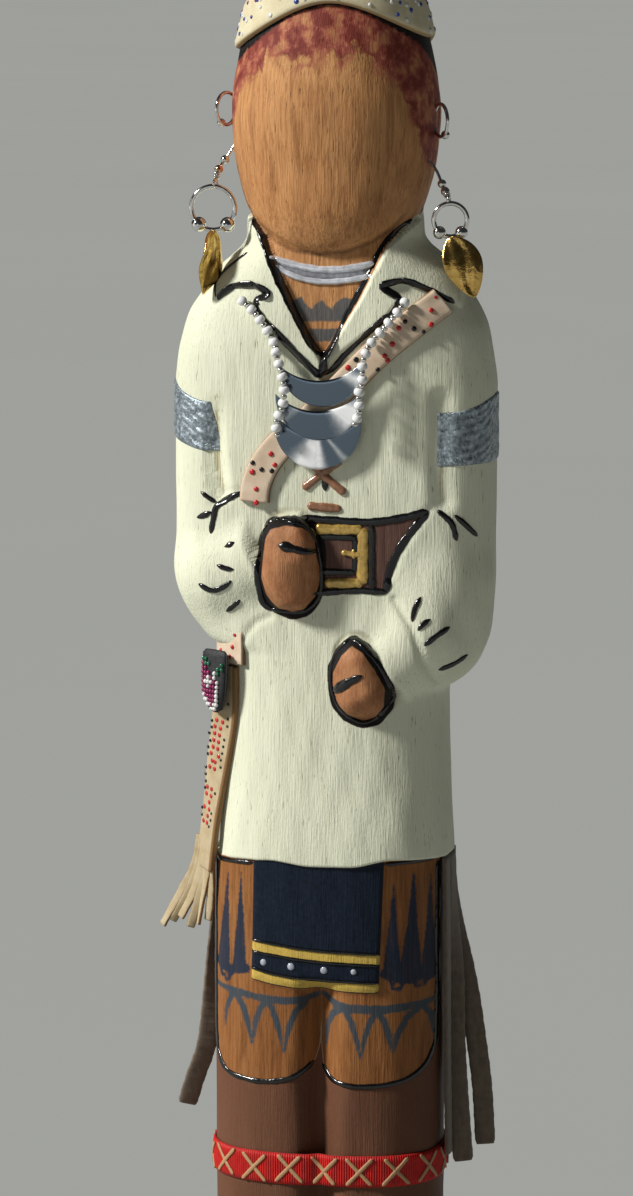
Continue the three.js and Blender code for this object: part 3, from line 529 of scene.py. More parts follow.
def bar(x, y, z, a, b, radiusA, radiusB, flat, endRound=None):  # a round bar from a to b, flattened in y
    axis = np.subtract(b, a)
    px, py, pz = x - a[0], y - a[1], z - a[2]
    square = (axis**2).sum()
    share = (px * axis[0] + py * axis[1] + pz * axis[2]) / square
    t = np.clip(share, 0, 1)
    reach = np.sqrt((px - t * axis[0]) ** 2 + ((py - t * axis[1]) / flat) ** 2 + (pz - t * axis[2]) ** 2)
    side = (reach - (radiusA + (radiusB - radiusA) * t)) * flat
    return softMax(side, (share - 1) * np.sqrt(square), endRound) if endRound else side


def egg(x, y, z, middle, radii, tilt, n, taper):  # a rounded block, turned in the front view by tilt
    dx, dz = x - middle[0], z - middle[2]
    sideways = dx * np.cos(tilt) + dz * np.sin(tilt)
    up = (dz * np.cos(tilt) - dx * np.sin(tilt)) / radii[2]
    wide = radii[0] * (1 - taper * np.clip(up, -1, 1))
    deep = np.abs((y - middle[1]) / radii[1])
    return ((np.abs(sideways / wide) ** n + deep**n + np.abs(up) ** n) ** (1 / n) - 1) * min(radii)


def aboveHem(x, z):  # height over the hem, which isn't quite level
    return z - hem - along(hemWave, x) * np.exp(-(((z - hem) / 13) ** 2))


def plainColumn(x, y, z):  # body and legs: a rounded rectangle at each height, with its own left and right
    z = aboveHem(x, z) + hem
    side = np.where(x < 0, along(leftSide, z), along(rightSide, z))
    return column(x, y, side, along(halfDepth, z), along(squareness, z))


def headForm(x, y, z):  # an egg by height, cut off under a curved chin, a little fuller at the jaw
    side = along(headSide, z)
    chin = 311.6 + 8.4 * (x / 21) ** 2 - 0.9 * ease(0, 8, y)
    jaw = 1 + 0.14 * ease(336, 316, z) * ease(2, -4, y)
    return softMax(column(x, y, side, side * carving["headDepth"] * jaw, 2.15), chin - z, 3)


def fistForm(x, y, z):  # the fist at the belt
    return egg(x, y, z, (-8.4, -17.8, 235), (7.6, 8.2, 12), 0, 2.5, 0)


def handForm(x, y, z):  # the lower hand
    return egg(x, y, z, (9.4, -17.2, 206.6), (7.2, 7.6, 10.8), 0.2, 2.3, 0.16)


def feetForm(x, y, z):  # two rounded moccasins
    mid = carving["midLeg"]
    feet = [egg(x, y, z, (mid + side * 14.2, -9, 4), (12.4, 27.5, 16.5), 0, 2.5, 0) for side in (-1, 1)]
    return np.minimum(*feet)


def relief(x, y, z):  # collar, neck opening, cloth and cuts, as height above the plain column
    front, back = ease(0.5, -3.5, y), ease(-0.5, 3, y)
    lapel = np.minimum(within(leftLapel, x, z), within(rightLapel, x, z))
    height = -5 * np.exp(-(((x - carving["midLeg"]) / 4) ** 2)) * ease(131, 125, z)
    collar = front * ease(0.5, -0.5, lapel) + back * ease(302.5, 303.7, z)
    height = height + carving["lapelHigh"] * collar
    height = height - front * ease(0.6, -0.6, within(neckOpening, x, z))
    cloth = ease(0.4, -0.4, within(breechcloth, x, z)) * ease(0.4, -0.4, aboveHem(x, z))
    height = height + carving["clothHigh"] * cloth * (front + back)
    left = cutAlong([(-27.4, 274), (-27.6, 262), (-26.2, 252)], x, z, 3.6, 3) * ease(279, 262, z)
    right = cutAlong([(28.6, 276), (28.4, 262), (29, 251)], x, z, 4.2, 1.6)
    behind = cutAlong([(-28, 272), (-28, 214)], x, z, 4, 2.4)
    behind = behind + cutAlong([(28, 272), (28, 206)], x, z, 4, 2.4)
    return height - front * (left + right) - back * behind


foldCuts = [  # knife cuts on the sleeves: line in the front view, width and depth in mm
    ([(17.6, 226.6), (20, 223), (22.6, 219.2), (24.8, 211), (27.6, 205.4)], 1.5, 0.75),
    ([(26.2, 249), (21.8, 243), (18.8, 238), (16.4, 232)], 1.6, 0.5),
    ([(-13.6, 221.4), (-17.4, 219.6), (-20.6, 215.4)], 1.6, 0.5),
    ([(-20.6, 252.6), (-25, 252), (-28.6, 248.6)], 1.8, 0.45),
]


def fineCarving(x, y, z):
    # products of sines for shallow knife marks all over, cuts that part the sleeves' folds, and on the hands
    # a net of scoops with soft ridges between them
    marks = np.sin(0.55 * x + 0.13 * z + 1.7 * np.sin(0.09 * z)) * np.sin(0.16 * z - 0.21 * x + 0.5 * y)
    marks = marks + 0.6 * np.sin(0.9 * x - 0.4 * y + 0.05 * z) * np.sin(0.31 * z + 0.3 * x)
    height = carving["knifeMarks"] * marks * ease(4, 12, z) * ease(394, 372, z)
    for points, wide, deep in foldCuts:
        height = height - ease(0, -4, y) * cutAlong(points, x, z, wide, deep)
    scoops = 1.1 - np.abs(np.sin(0.36 * x + 0.16 * z + 0.7)) - np.abs(np.sin(0.30 * z - 0.14 * x + 0.4))
    onHands = np.minimum(fistForm(x, y, z), handForm(x, y, z))
    return height + carving["scoops"] * scoops * ease(1.0, 0.0, onHands) * ease(-8, -14, y)


def carved(x, y, z):  # roughly the distance to the carved surface, negative in the wood
    f = softMax(plainColumn(x, y, z) - relief(x, y, z), z - carving["neckTop"], 2)
    f = softMin(f, bar(x, y, z, (-24.6, -6, 231.6), (-13.6, -10.25, 237.1), 15.2, 13, 0.93, 2), 2)
    f = softMin(f, fistForm(x, y, z), 0.8)
    f = softMin(f, bar(x, y, z, (25.6, -4.6, 230), (22.6, -8.6, 218), 14, 13, 0.93), 3)
    f = softMin(f, bar(x, y, z, (22.5, -9.2, 216.5), (12.8, -11.6, 207.2), 11.6, 11, 0.95, 2), 1.2)
    f = softMin(f, handForm(x, y, z), 0.8)
    f = softMin(f, feetForm(x, y, z), 3)
    return softMin(f, headForm(x, y, z), 0.8) - fineCarving(x, y, z)


def reach(field, start, inward, far, step=0.9, halvings=10):
    # marches from start points inward until the field turns negative, then halves the last step
    shape = start.shape[:-1]
    found = np.zeros(shape, bool)
    outside, inside = np.zeros(shape), np.full(shape, float(far))
    at = 0.0
    while at < far and not found.all():
        at = min(at + step, far)
        todo = ~found
        spot = start[todo] + inward[todo] * at
        hit = np.zeros(shape, bool)
        hit[todo] = field(*spot.T) <= 0
        inside[hit] = at
        outside[~found & ~hit] = at
        found |= hit
    for _ in range(halvings):
        middle = (outside + inside) / 2
        spot = start + inward * middle[..., None]
        wood = field(spot[..., 0], spot[..., 1], spot[..., 2]) <= 0
        inside = np.where(wood, middle, inside)
        outside = np.where(wood, outside, middle)
    return start + inward * inside[..., None]


def slopeOf(field, points, h=0.35):  # the direction straight out of a surface
    steps = np.eye(3) * h
    parts = [field(*np.moveaxis(points + s, -1, 0)) - field(*np.moveaxis(points - s, -1, 0)) for s in steps]
    return unit(np.stack(parts, -1))


def onFront(x, z, field=carved, fromY=-36.0):  # the point that shows from the front at x and height z
    x, z = np.broadcast_arrays(np.asarray(x, float), np.asarray(z, float))
    start = np.stack([x, np.full(x.shape, fromY), z], -1)
    return reach(field, start, np.broadcast_to([0.0, 1, 0], start.shape), 60)


def onSpoke(angle, z, field=carved, far=48.0):  # the same on a spoke, angle 0 in front and growing to +X
    angle, z = np.broadcast_arrays(np.asarray(angle, float), np.asarray(z, float))
    out = np.stack([np.sin(angle), -np.cos(angle), 0 * angle], -1)
    start = out * far + np.stack([0 * z, 0 * z, z], -1)
    return reach(field, start, -out, far - 0.2)


# Painted zones, each the distance in mm from its edge, negative inside

leftLegBare = [
    (-29.3, 170), (-29.4, 120), (-29.1, 112), (-28.2, 107.8), (-26, 104.2), (-20.5, 102.8), (-13.8, 102.8),
    (-7.9, 104.2), (-4.9, 106), (-2.6, 108), (-1.5, 112), (-1.1, 118), (-1.1, 170),
]
rightLegBare = [
    (-1.1, 170), (-1.1, 112), (-0.6, 107), (1.6, 103.9), (5.6, 102.8), (9.4, 102.5), (17.8, 103.2),
    (22, 104.6), (25, 107.4), (26.6, 111.4), (27.2, 118), (27.2, 170),
]
beltPanel = [
    (-9, 246.4), (1, 246), (11.8, 245.7), (19.1, 246.8), (25.9, 248.4), (21.8, 243.4), (18.6, 238.6),
    (16.5, 233.7), (15.8, 228.3), (7.5, 228.5), (-1.7, 227.4), (-9, 227.6),
]
neckTattoo = [
    (-8.2, 300.1), (-5.9, 301), (-4.9, 299.2), (-3.3, 298.1), (-1.1, 300.5), (0.4, 299), (1.7, 298.2),
    (2.8, 299.9), (4.4, 301), (6.8, 300.7), (4.2, 295.2), (-5.2, 294.9),
]
neckTattooLow = [(-4.6, 293.4), (3.8, 293.6), (1.7, 290), (-2.3, 289.8)]
fistFace = [  # where the fist's wood shows inside its black edge
    (-12.6, 244), (-8.7, 245), (-4.9, 244.5), (-2.2, 242.8), (-1.5, 238.7), (-0.9, 233.8), (-0.9, 230.6),
    (-2.1, 226.8), (-4.8, 223.7), (-7.9, 222.8), (-11.3, 224.2), (-13.9, 227.4), (-15, 231.6),
    (-14.5, 237.2),
    (-13.8, 241.7),
]
handFace = [
    (7.6, 215.2), (10.4, 213.7), (13.4, 209.4), (15.9, 204.6), (15.4, 199.8), (13, 196.8), (10, 195.9),
    (6.3, 197.7), (3.7, 200.7), (2.4, 204.6), (2.7, 208.1), (5, 212.6),
]
legTattoos = [  # blue-grey strokes on the thighs: [x, z, half width] rows
    [(-25.2, 155.1, 0.1), (-25.9, 143.9, 1.0), (-26.7, 131.5, 2.0)],
    [(-21.4, 155.8, 0.1), (-21.6, 144.7, 0.9), (-21.9, 132, 1.9)],
    [(17.6, 154.6, 0.1), (17.4, 143.9, 1.0), (17.2, 131.6, 2.3)],
    [(22.2, 156.5, 0.2), (21.9, 143.4, 1.2), (21.5, 131.2, 2.8)],
    [(25.8, 155.5, 0.1), (25.7, 142.5, 0.8), (25.6, 130.4, 1.9)],
    [(-28.8, 131.6, 0.9), (-25, 130.2, 1.2), (-20, 131.2, 1.2)],
    [(15.4, 131.4, 1.2), (20, 129.8, 1.3), (24, 130.4, 1.2), (27, 131.4, 0.9)],
    [(-27.8, 130.6, 0.4), (-27.2, 128.4, 0.5), (-25.4, 127.6, 0.55), (-24, 129.4, 0.4)],
    [(16.8, 129.8, 0.4), (17.4, 127.7, 0.5), (19, 127.2, 0.5), (20.3, 129.2, 0.4)],
    [(22.2, 129.3, 0.4), (23, 127.8, 0.5), (24.6, 127.8, 0.5), (25.7, 129.8, 0.4)],
    [(-29.3, 125.6, 0.6), (-23.2, 125, 0.9), (-16.8, 124.2, 0.9), (-10.7, 123.8, 1.0), (-6, 124, 0.9),
     (-2, 125, 0.7)],
    [(-0.6, 125.2, 0.7), (2.8, 123.4, 1.0), (6.6, 122.5, 1.1), (15.6, 122.2, 1.1), (21.5, 122.8, 1.0),
     (27.4, 123.4, 0.6)],
    [(-26.2, 115.3, 0.2), (-25.7, 120.3, 0.6), (-24.2, 123.6, 0.8)],
    [(-22.6, 123.8, 0.9), (-20.9, 121.4, 0.9), (-19.6, 117.6, 0.8), (-18.5, 111.7, 0.2)],
    [(-14.6, 123.2, 0.8), (-16.2, 121.4, 0.8), (-17.5, 117.6, 0.8), (-18.4, 111.7, 0.2)],
    [(-14.4, 123.2, 0.8), (-12.9, 121.4, 0.8), (-11.5, 117.2, 0.8), (-10.2, 110.4, 0.2)],
    [(-4.6, 123.4, 0.8), (-7.0, 121.2, 0.8), (-8.7, 117, 0.8), (-10, 110.4, 0.2)],
    [(0.1, 111.6, 0.2), (0.7, 117.6, 0.8), (2.4, 120.9, 0.9), (4.6, 122.2, 0.8)],
    [(5.6, 121.8, 0.8), (7.2, 119, 0.8), (8.5, 114.6, 0.7), (9.5, 109.6, 0.2)],
    [(13.7, 121.6, 0.8), (12.2, 119.8, 0.8), (10.7, 115.4, 0.7), (9.6, 109.6, 0.2)],
    [(14, 121.6, 0.8), (15.7, 118.4, 0.8), (16.7, 114.6, 0.7), (17.4, 110.8, 0.2)],
    [(23.4, 122, 0.8), (20.6, 119.6, 0.8), (18.6, 115.6, 0.8), (17.5, 110.8, 0.2)],
    [(24.4, 122.2, 0.7), (26, 119.8, 0.6), (26.4, 114.5, 0.2)],
]
stainEdge = [  # the lower edge of the red stain on the brow, as [x, height]
    [-26, 333], [-24.6, 340], [-23.2, 347], [-21.6, 352.4], [-19.4, 354.4], [-15.6, 355], [-14.4, 360.2],
    [-11.4, 359.8], [-8.6, 357.8], [-3.4, 358.2], [-0.6, 360], [2.4, 361], [4.4, 357.8], [7.2, 360.6],
    [11.8, 358.4], [14.5, 356], [17.5, 353.6], [19, 350], [20.8, 345], [22.4, 340], [23.6, 334], [26, 329],
]
chinShadowLine = [  # the painted shadow in the crease under the chin: [x, z, half width] rows
    (-17.5, 317.6, 0.05), (-12.6, 314.2, 0.25), (-8, 312.4, 0.4), (-1.9, 311.6, 0.45), (5, 312.2, 0.45),
    (11.3, 314.6, 0.4), (16, 317.8, 0.3), (19, 321.4, 0.05),
]
stripeHeights = [  # middle of each yellow stripe on the breechcloth, as [x, height]
    [[-20, 137.7], [-18.7, 137.55], [-3, 135.9], [7, 135.4], [15, 135.1]],
    [[-20, 130.5], [-13, 129.35], [-3, 128.3], [7, 128.1], [15, 127.8]],
]
bandShape = {"peak": 372.8, "peakX": 2.0, "fall": 0.0165, "reachX": 25.0}


def bandEdge(angle):  # height of the headband's lower edge: an arch over the brow that falls to the nape
    side = bandShape["reachX"] * np.sin(angle)
    front = (side - bandShape["peakX"]) ** 2
    back = 2 * bandShape["reachX"] ** 2 - side**2 + bandShape["peakX"] ** 2 - 2 * bandShape["peakX"] * side
    return bandShape["peak"] - bandShape["fall"] * np.where(np.cos(angle) > 0, front, back)


armCuts = [  # bare wood shows thinly where the arms part from the chest
    [(-27.2, 277, 0.1), (-27.7, 262, 0.9), (-26.2, 252, 0.5)],
    [(28.7, 275, 0.1), (28.5, 262, 0.5), (29, 251, 0.5)],
]


def paintedZones(x, y, z):  # each zone's distances at the points, from the outlines and forms above
    front = y < 0
    far = np.full(x.shape, 9.0)
    hands, ink = far, far
    for formOf, outline in ((fistForm, fistFace), (handForm, handFace)):
        form, face = formOf(x, y, z), within(outline, x, z)
        hands = np.minimum(hands, np.maximum(form - 0.7, face - 0.5))
        ink = np.minimum(ink, np.maximum(np.maximum(form - 1.4, -face), face - carving["edgeWide"]))
    headNear = np.where(z > 309, headForm(x, y, z) - 0.35, far)
    neck = np.where(front & (z > 284) & (z < 326), within(neckOpening, x, z), far)
    bare = np.minimum(within(leftLegBare, x, z), within(rightLegBare, x, z))
    underHem = aboveHem(x, z)
    thigh = np.maximum(bare, underHem)
    angle = np.arctan2(x, -y)
    belowBand = bandEdge(angle) - z
    strip = 0.7 + 2.6 * (np.clip(np.abs(x - 1), 0, 24) / 24) ** 3
    faceBack = y - (4.5 - 17 * ease(350, 369, z) - 5 * ease(330, 318, z))
    hair = np.where(z > 309, np.minimum(belowBand - strip, -faceBack), far)
    beltFront = np.where(front, within(beltPanel, x, z), far)
    beltBack = np.where(front, far, np.maximum(np.abs(z - 237) - 8.4, np.abs(x) - 27))
    stripes = np.minimum(*(np.abs(z - along(rows, x)) - 1.2 for rows in stripeHeights))
    cloth = np.maximum(within(breechcloth, x, z) - 0.2, underHem)
    tattoo = np.minimum(within(neckTattoo, x, z), within(neckTattooLow, x, z) + 0.25)
    tattoo = np.where(front & (z > 280), tattoo, far)
    legs = front & (z < 160) & (z > 105)
    for strokes in legTattoos:
        tattoo[legs] = np.minimum(tattoo[legs], fromLine(strokes, x[legs], z[legs]))
    stain = np.where(front & (z > 320), along(stainEdge, x) - z, far)
    shoes = np.where(z < 30, z - (20.5 + 2.5 * ease(-8, -20, y)), far)
    worn = np.minimum(*(fromLine(points, x, z) for points in armCuts))
    return {
        "bareWood": np.minimum(np.minimum(hands, headNear), np.minimum(neck, thigh)),
        "wear": np.where(front & (z > 245) & (z < 285), worn, far),
        "hands": np.where(front, hands, far),
        "thigh": thigh,
        "ink": np.where(front, ink, far),
        "leggings": np.maximum(underHem, -bare),
        "shoes": shoes,
        "belt": np.minimum(beltFront, beltBack),
        "cloth": cloth,
        "stripes": np.maximum(stripes, cloth),
        "tattoo": tattoo,
        "lowInk": z - 127,
        "stain": stain,
        # the painted shadow line under the chin
        "chin": np.where(front & (z > 305) & (z < 326), fromLine(chinShadowLine, x, z), far),
        "hair": np.maximum(hair, headNear),
    }


def carvedMaterial():
    # one material for the whole carving: wood with grain, flecks and stain, and each paint laid over it in
    # its own zone, with the grain showing through as relief; painted shade darkens its hollows and painted
    # shadow lines the chin
    material, tree, shader = newMaterial("carved and painted wood", Roughness=0.52, Specular_IOR_Level=0.16)
    grainPlace = coordinates(tree, (1, 1, 0.045))
    grain = noise(tree, grainPlace, 1.7, 5, 0.62, 0.15)
    fleck = noise(tree, coordinates(tree, (1, 1, 0.075)), 3.0, 2, 0.5)
    streak = noise(tree, coordinates(tree, (1, 1, 0.12)), 0.42, 4, 0.6, 0.4)
    cloud = noise(tree, coordinates(tree, (1, 1, 0.35)), 0.07, 3)
    wobbleNoise = noise(tree, coordinates(tree, (1, 1, 1)), 0.9, 3, 0.6)
    dab = noise(tree, coordinates(tree, (1, 1, 0.8)), 0.22, 4, 0.62)

    def inside(name, soft, shake=0.0, offset=0.0):  # 1 in the zone, its edge shaken by noise
        edge = stored(tree, name)
        if shake:
            edge = calc(tree, "ADD", edge, calc(tree, "MULTIPLY_ADD", wobbleNoise, 2 * shake, -shake))
        return spread(tree, edge, offset + soft, offset - soft)

    wood = blend(tree, spread(tree, cloud, 0.3, 0.7), (0.50, 0.235, 0.090), (0.64, 0.33, 0.138))
    wood = blend(tree, spread(tree, grain, 0.43, 0.66, 0, 0.7), wood, (0.33, 0.135, 0.048))
    wood = blend(tree, spread(tree, streak, 0.50, 0.66, 0, 0.55), wood, (0.25, 0.098, 0.036))
    thigh = inside("thigh", 0.2)
    wood = blend(tree, thigh, wood, blend(tree, 1.0, wood, (0.52, 0.435, 0.34), "MULTIPLY"))
    wood = blend(tree, spread(tree, fleck, 0.64, 0.74, 0, 0.85), wood, (0.115, 0.042, 0.016))
    stainEdged = calc(tree, "ADD", stored(tree, "stain"), calc(tree, "MULTIPLY_ADD", dab, 22, -11))
    stainDab = spread(tree, stainEdged, 1.2, -1.2)
    patch = spread(tree, dab, 0.36, 0.47)
    stain = blend(tree, spread(tree, dab, 0.44, 0.56), (0.36, 0.095, 0.066), (0.17, 0.024, 0.022))
    strength = calc(tree, "MULTIPLY", calc(tree, "MULTIPLY_ADD", patch, 0.72, 0.22), stainDab)
    wood = blend(tree, strength, wood, stain)
    # painted shadow: a dark brown line in the crease under the chin
    wood = blend(tree, calc(tree, "MULTIPLY", inside("chin", 0.5, 0.3), 0.8), wood, (0.075, 0.032, 0.014))
    soaked = spread(tree, grain, 0.72, 0.5, 0.72, 0.96)
    tattooMask = calc(tree, "MULTIPLY", inside("tattoo", 0.22, 0.45), soaked)
    legInk = blend(tree, inside("lowInk", 0.6), (0.010, 0.025, 0.050), (0.040, 0.062, 0.080))
    wood = blend(tree, tattooMask, wood, blend(tree, thigh, (0.085, 0.098, 0.104), legInk))

    shirt = blend(tree, spread(tree, cloud, 0.3, 0.72), (0.72, 0.735, 0.56), (0.79, 0.805, 0.63))
    shirt = blend(tree, spread(tree, grain, 0.56, 0.68, 0, 0.3), shirt, (0.60, 0.58, 0.38))
    shirt = blend(tree, spread(tree, fleck, 0.66, 0.74, 0, 0.85), shirt, (0.30, 0.26, 0.15))
    # painted shade and thin paint: by the stored hollow value the shirt turns darker and yellower in creases
    # and recesses
    hollowShadeAndTint = spread(tree, stored(tree, "hollowShadeAndTint"), 0.25, 0.85)
    shirt = blend(tree, calc(tree, "MULTIPLY", hollowShadeAndTint, 0.55), shirt, (0.40, 0.34, 0.16))

    leather = blend(tree, spread(tree, cloud, 0.3, 0.7), (0.112, 0.046, 0.024), (0.146, 0.064, 0.035))
    leather = blend(tree, spread(tree, wobbleNoise, 0.3, 0.8, 0, 0.3), leather, (0.170, 0.077, 0.044))
    belt = blend(tree, spread(tree, grain, 0.35, 0.7), (0.092, 0.046, 0.036), (0.140, 0.076, 0.058))
    hand = blend(tree, spread(tree, dab, 0.35, 0.65), (0.31, 0.128, 0.056), (0.46, 0.215, 0.100))
    hand = blend(tree, spread(tree, grain, 0.48, 0.7, 0, 0.55), hand, (0.21, 0.082, 0.035))
    navy = blend(tree, spread(tree, wobbleNoise, 0.3, 0.7), (0.004, 0.008, 0.017), (0.008, 0.015, 0.030))
    yellow = blend(tree, spread(tree, wobbleNoise, 0.3, 0.7), (0.50, 0.34, 0.07), (0.62, 0.44, 0.10))

    worn = calc(tree, "MULTIPLY", inside("wear", 0.35, 0.9), spread(tree, grain, 0.38, 0.56))
    shirt = blend(tree, calc(tree, "MULTIPLY", worn, 0.8), shirt, (0.36, 0.27, 0.10))
    color = blend(tree, inside("belt", 0.12), shirt, belt)
    color = blend(tree, inside("leggings", 0.12), color, leather)
    buckskin = blend(tree, dab, (0.24, 0.145, 0.08), (0.33, 0.20, 0.115))
    color = blend(tree, inside("shoes", 0.12), color, buckskin)
    color = blend(tree, inside("bareWood", 0.12), color, wood)
    color = blend(tree, inside("hands", 0.12), color, hand)
    color = blend(tree, inside("ink", 0.10, 0.12), color, (0.006, 0.005, 0.006))
    color = blend(tree, inside("cloth", 0.10), color, navy)
    color = blend(tree, inside("stripes", 0.10), color, yellow)
    hair = inside("hair", 0.25, 0.35)
    color = blend(tree, hair, color, (0.012, 0.010, 0.010))
    # painted shade: every colour darkens further in the hollows
    color = blend(tree, calc(tree, "MULTIPLY", hollowShadeAndTint, 0.35), color, (0.05, 0.03, 0.015))
    tree.links.new(color, shader.inputs["Base Color"])

    rough = calc(tree, "MULTIPLY_ADD", hair, -0.12, 0.5)
    rough = calc(tree, "MULTIPLY_ADD", wobbleNoise, 0.14, rough)
    tree.links.new(rough, shader.inputs["Roughness"])
    height = calc(tree, "MULTIPLY_ADD", fleck, -0.5, calc(tree, "MULTIPLY_ADD", grain, -0.8, 1.0))
    height = calc(tree, "MULTIPLY_ADD", wobbleNoise, 0.35, height)
    addBump(tree, shader, height, 0.7, 0.3)
    return material


figureGrid = {  # spokes in front and behind, and heights from, to and apart: finer where the carving is
    "front": 200, "back": 74, "top": 393.9, "hollowShadeReach": 2.2,
    "levels": [
        (0, 26, 1.7), (26, 100, 3.4), (100, 157.6, 0.95), (157.6, 161.4, 0.32), (161.4, 195, 1.7),
        (195, 256, 0.76), (256, 279, 1.3), (279, 323, 0.64), (323, 352, 1.6), (352, 376, 1.1),
        (376, 393.9, 1.1),
    ],
}


def makeFigure():
    # a polar grid: each point lies on the spoke of its angle at its height, where it meets the wood
    levels = [np.linspace(low, high, round((high - low) / step), endpoint=False)
              for low, high, step in figureGrid["levels"]]
    levels = np.concatenate(levels + [[figureGrid["top"]]])
    half = np.pi / 2
    angles = np.concatenate([np.linspace(-half, half, figureGrid["front"], endpoint=False),
                             np.linspace(half, 3 * half, figureGrid["back"], endpoint=False)])
    grid = onSpoke(angles[None, :], levels[:, None])
    shape = closedGrid(grid)
    points = shape[0]
    points[-1] = (0, 0, tableHeight)
    x, y, z = points.T
    zones = paintedZones(x, y, z)
    normals = slopeOf(carved, points)
    # painted shade: a point counts as hollow as far as wood lies within the reach along its normal
    reachOut = figureGrid["hollowShadeReach"]
    lifted = points + normals * reachOut
    zones["hollowShadeAndTint"] = np.clip(1 - carved(*lifted.T) / reachOut, 0, 1) * ease(1, 6, z)
    makePiece("carved_doll", shape, carvedMaterial(), "painted_wood", "carved_figure", attributes=zones)


makeFigure()
print("figure carved")


# Paint laid on as raised lines, dots and bands

paintSizes = {"gain": 1.32, "step": 0.36, "sides": 12}


def paintLine(route, wide, high=0.42, thin=1.3, seed=1.0):
    # a bead of paint: a flattened round section along a smooth line on the front, thin at both ends.
    # On a flank it widens, so that from the front it keeps its width. A third number in a row scales it.
    route = np.array([(*row, 1.0)[:3] for row in route])
    rough = lengthOf(route[:, :2])
    line = smoothLine(route, max(8, int(rough / paintSizes["step"])))
    spots = onFront(line[:, 0], line[:, 1])
    normal = slopeOf(carved, spots)
    across = unit(np.cross(normal, unit(np.gradient(spots, axis=0))))
    flank = 1 / np.clip(np.hypot(across[:, 0], across[:, 2]), 0.45, 1)
    run = np.linspace(0, rough, len(line))
    swell = (1 + 0.13 * wobble(run * 0.9, seed)) * line[:, 2]
    swell = swell * np.sqrt(np.clip(np.minimum(run, rough - run) / thin, 0.03, 1))
    halfWide = wide * paintSizes["gain"] / 2 * swell * flank
    return tube(spots, across, normal, halfWide, high * swell**0.6, paintSizes["sides"], 2.2)


def paintLines(rows, **looks):  # one raised paint line for each route and width
    return joined([paintLine(route, wide, seed=i, **looks) for i, (route, wide) in enumerate(rows)])


def dotsAt(spots, normal, radius, high):  # small balls flattened along the normal
    radius = np.broadcast_to(radius, len(spots))[:, None]
    across = unit(np.cross(normal, [0.0, 0, 1.0]))
    return copies(ballShape(7, 12), spots, across * radius, np.cross(normal, across) * radius, normal * high)


def frontDots(places, radius, high=0.3, lift=0.0):  # dots that show from the front at [x, z] places
    places = np.asarray(places, float)
    spots = onFront(places[:, 0], places[:, 1])
    normal = slopeOf(carved, spots)
    size = radius * (1 + 0.18 * chance.uniform(-1, 1, len(spots)))
    return dotsAt(spots + normal * lift, normal, size, high)


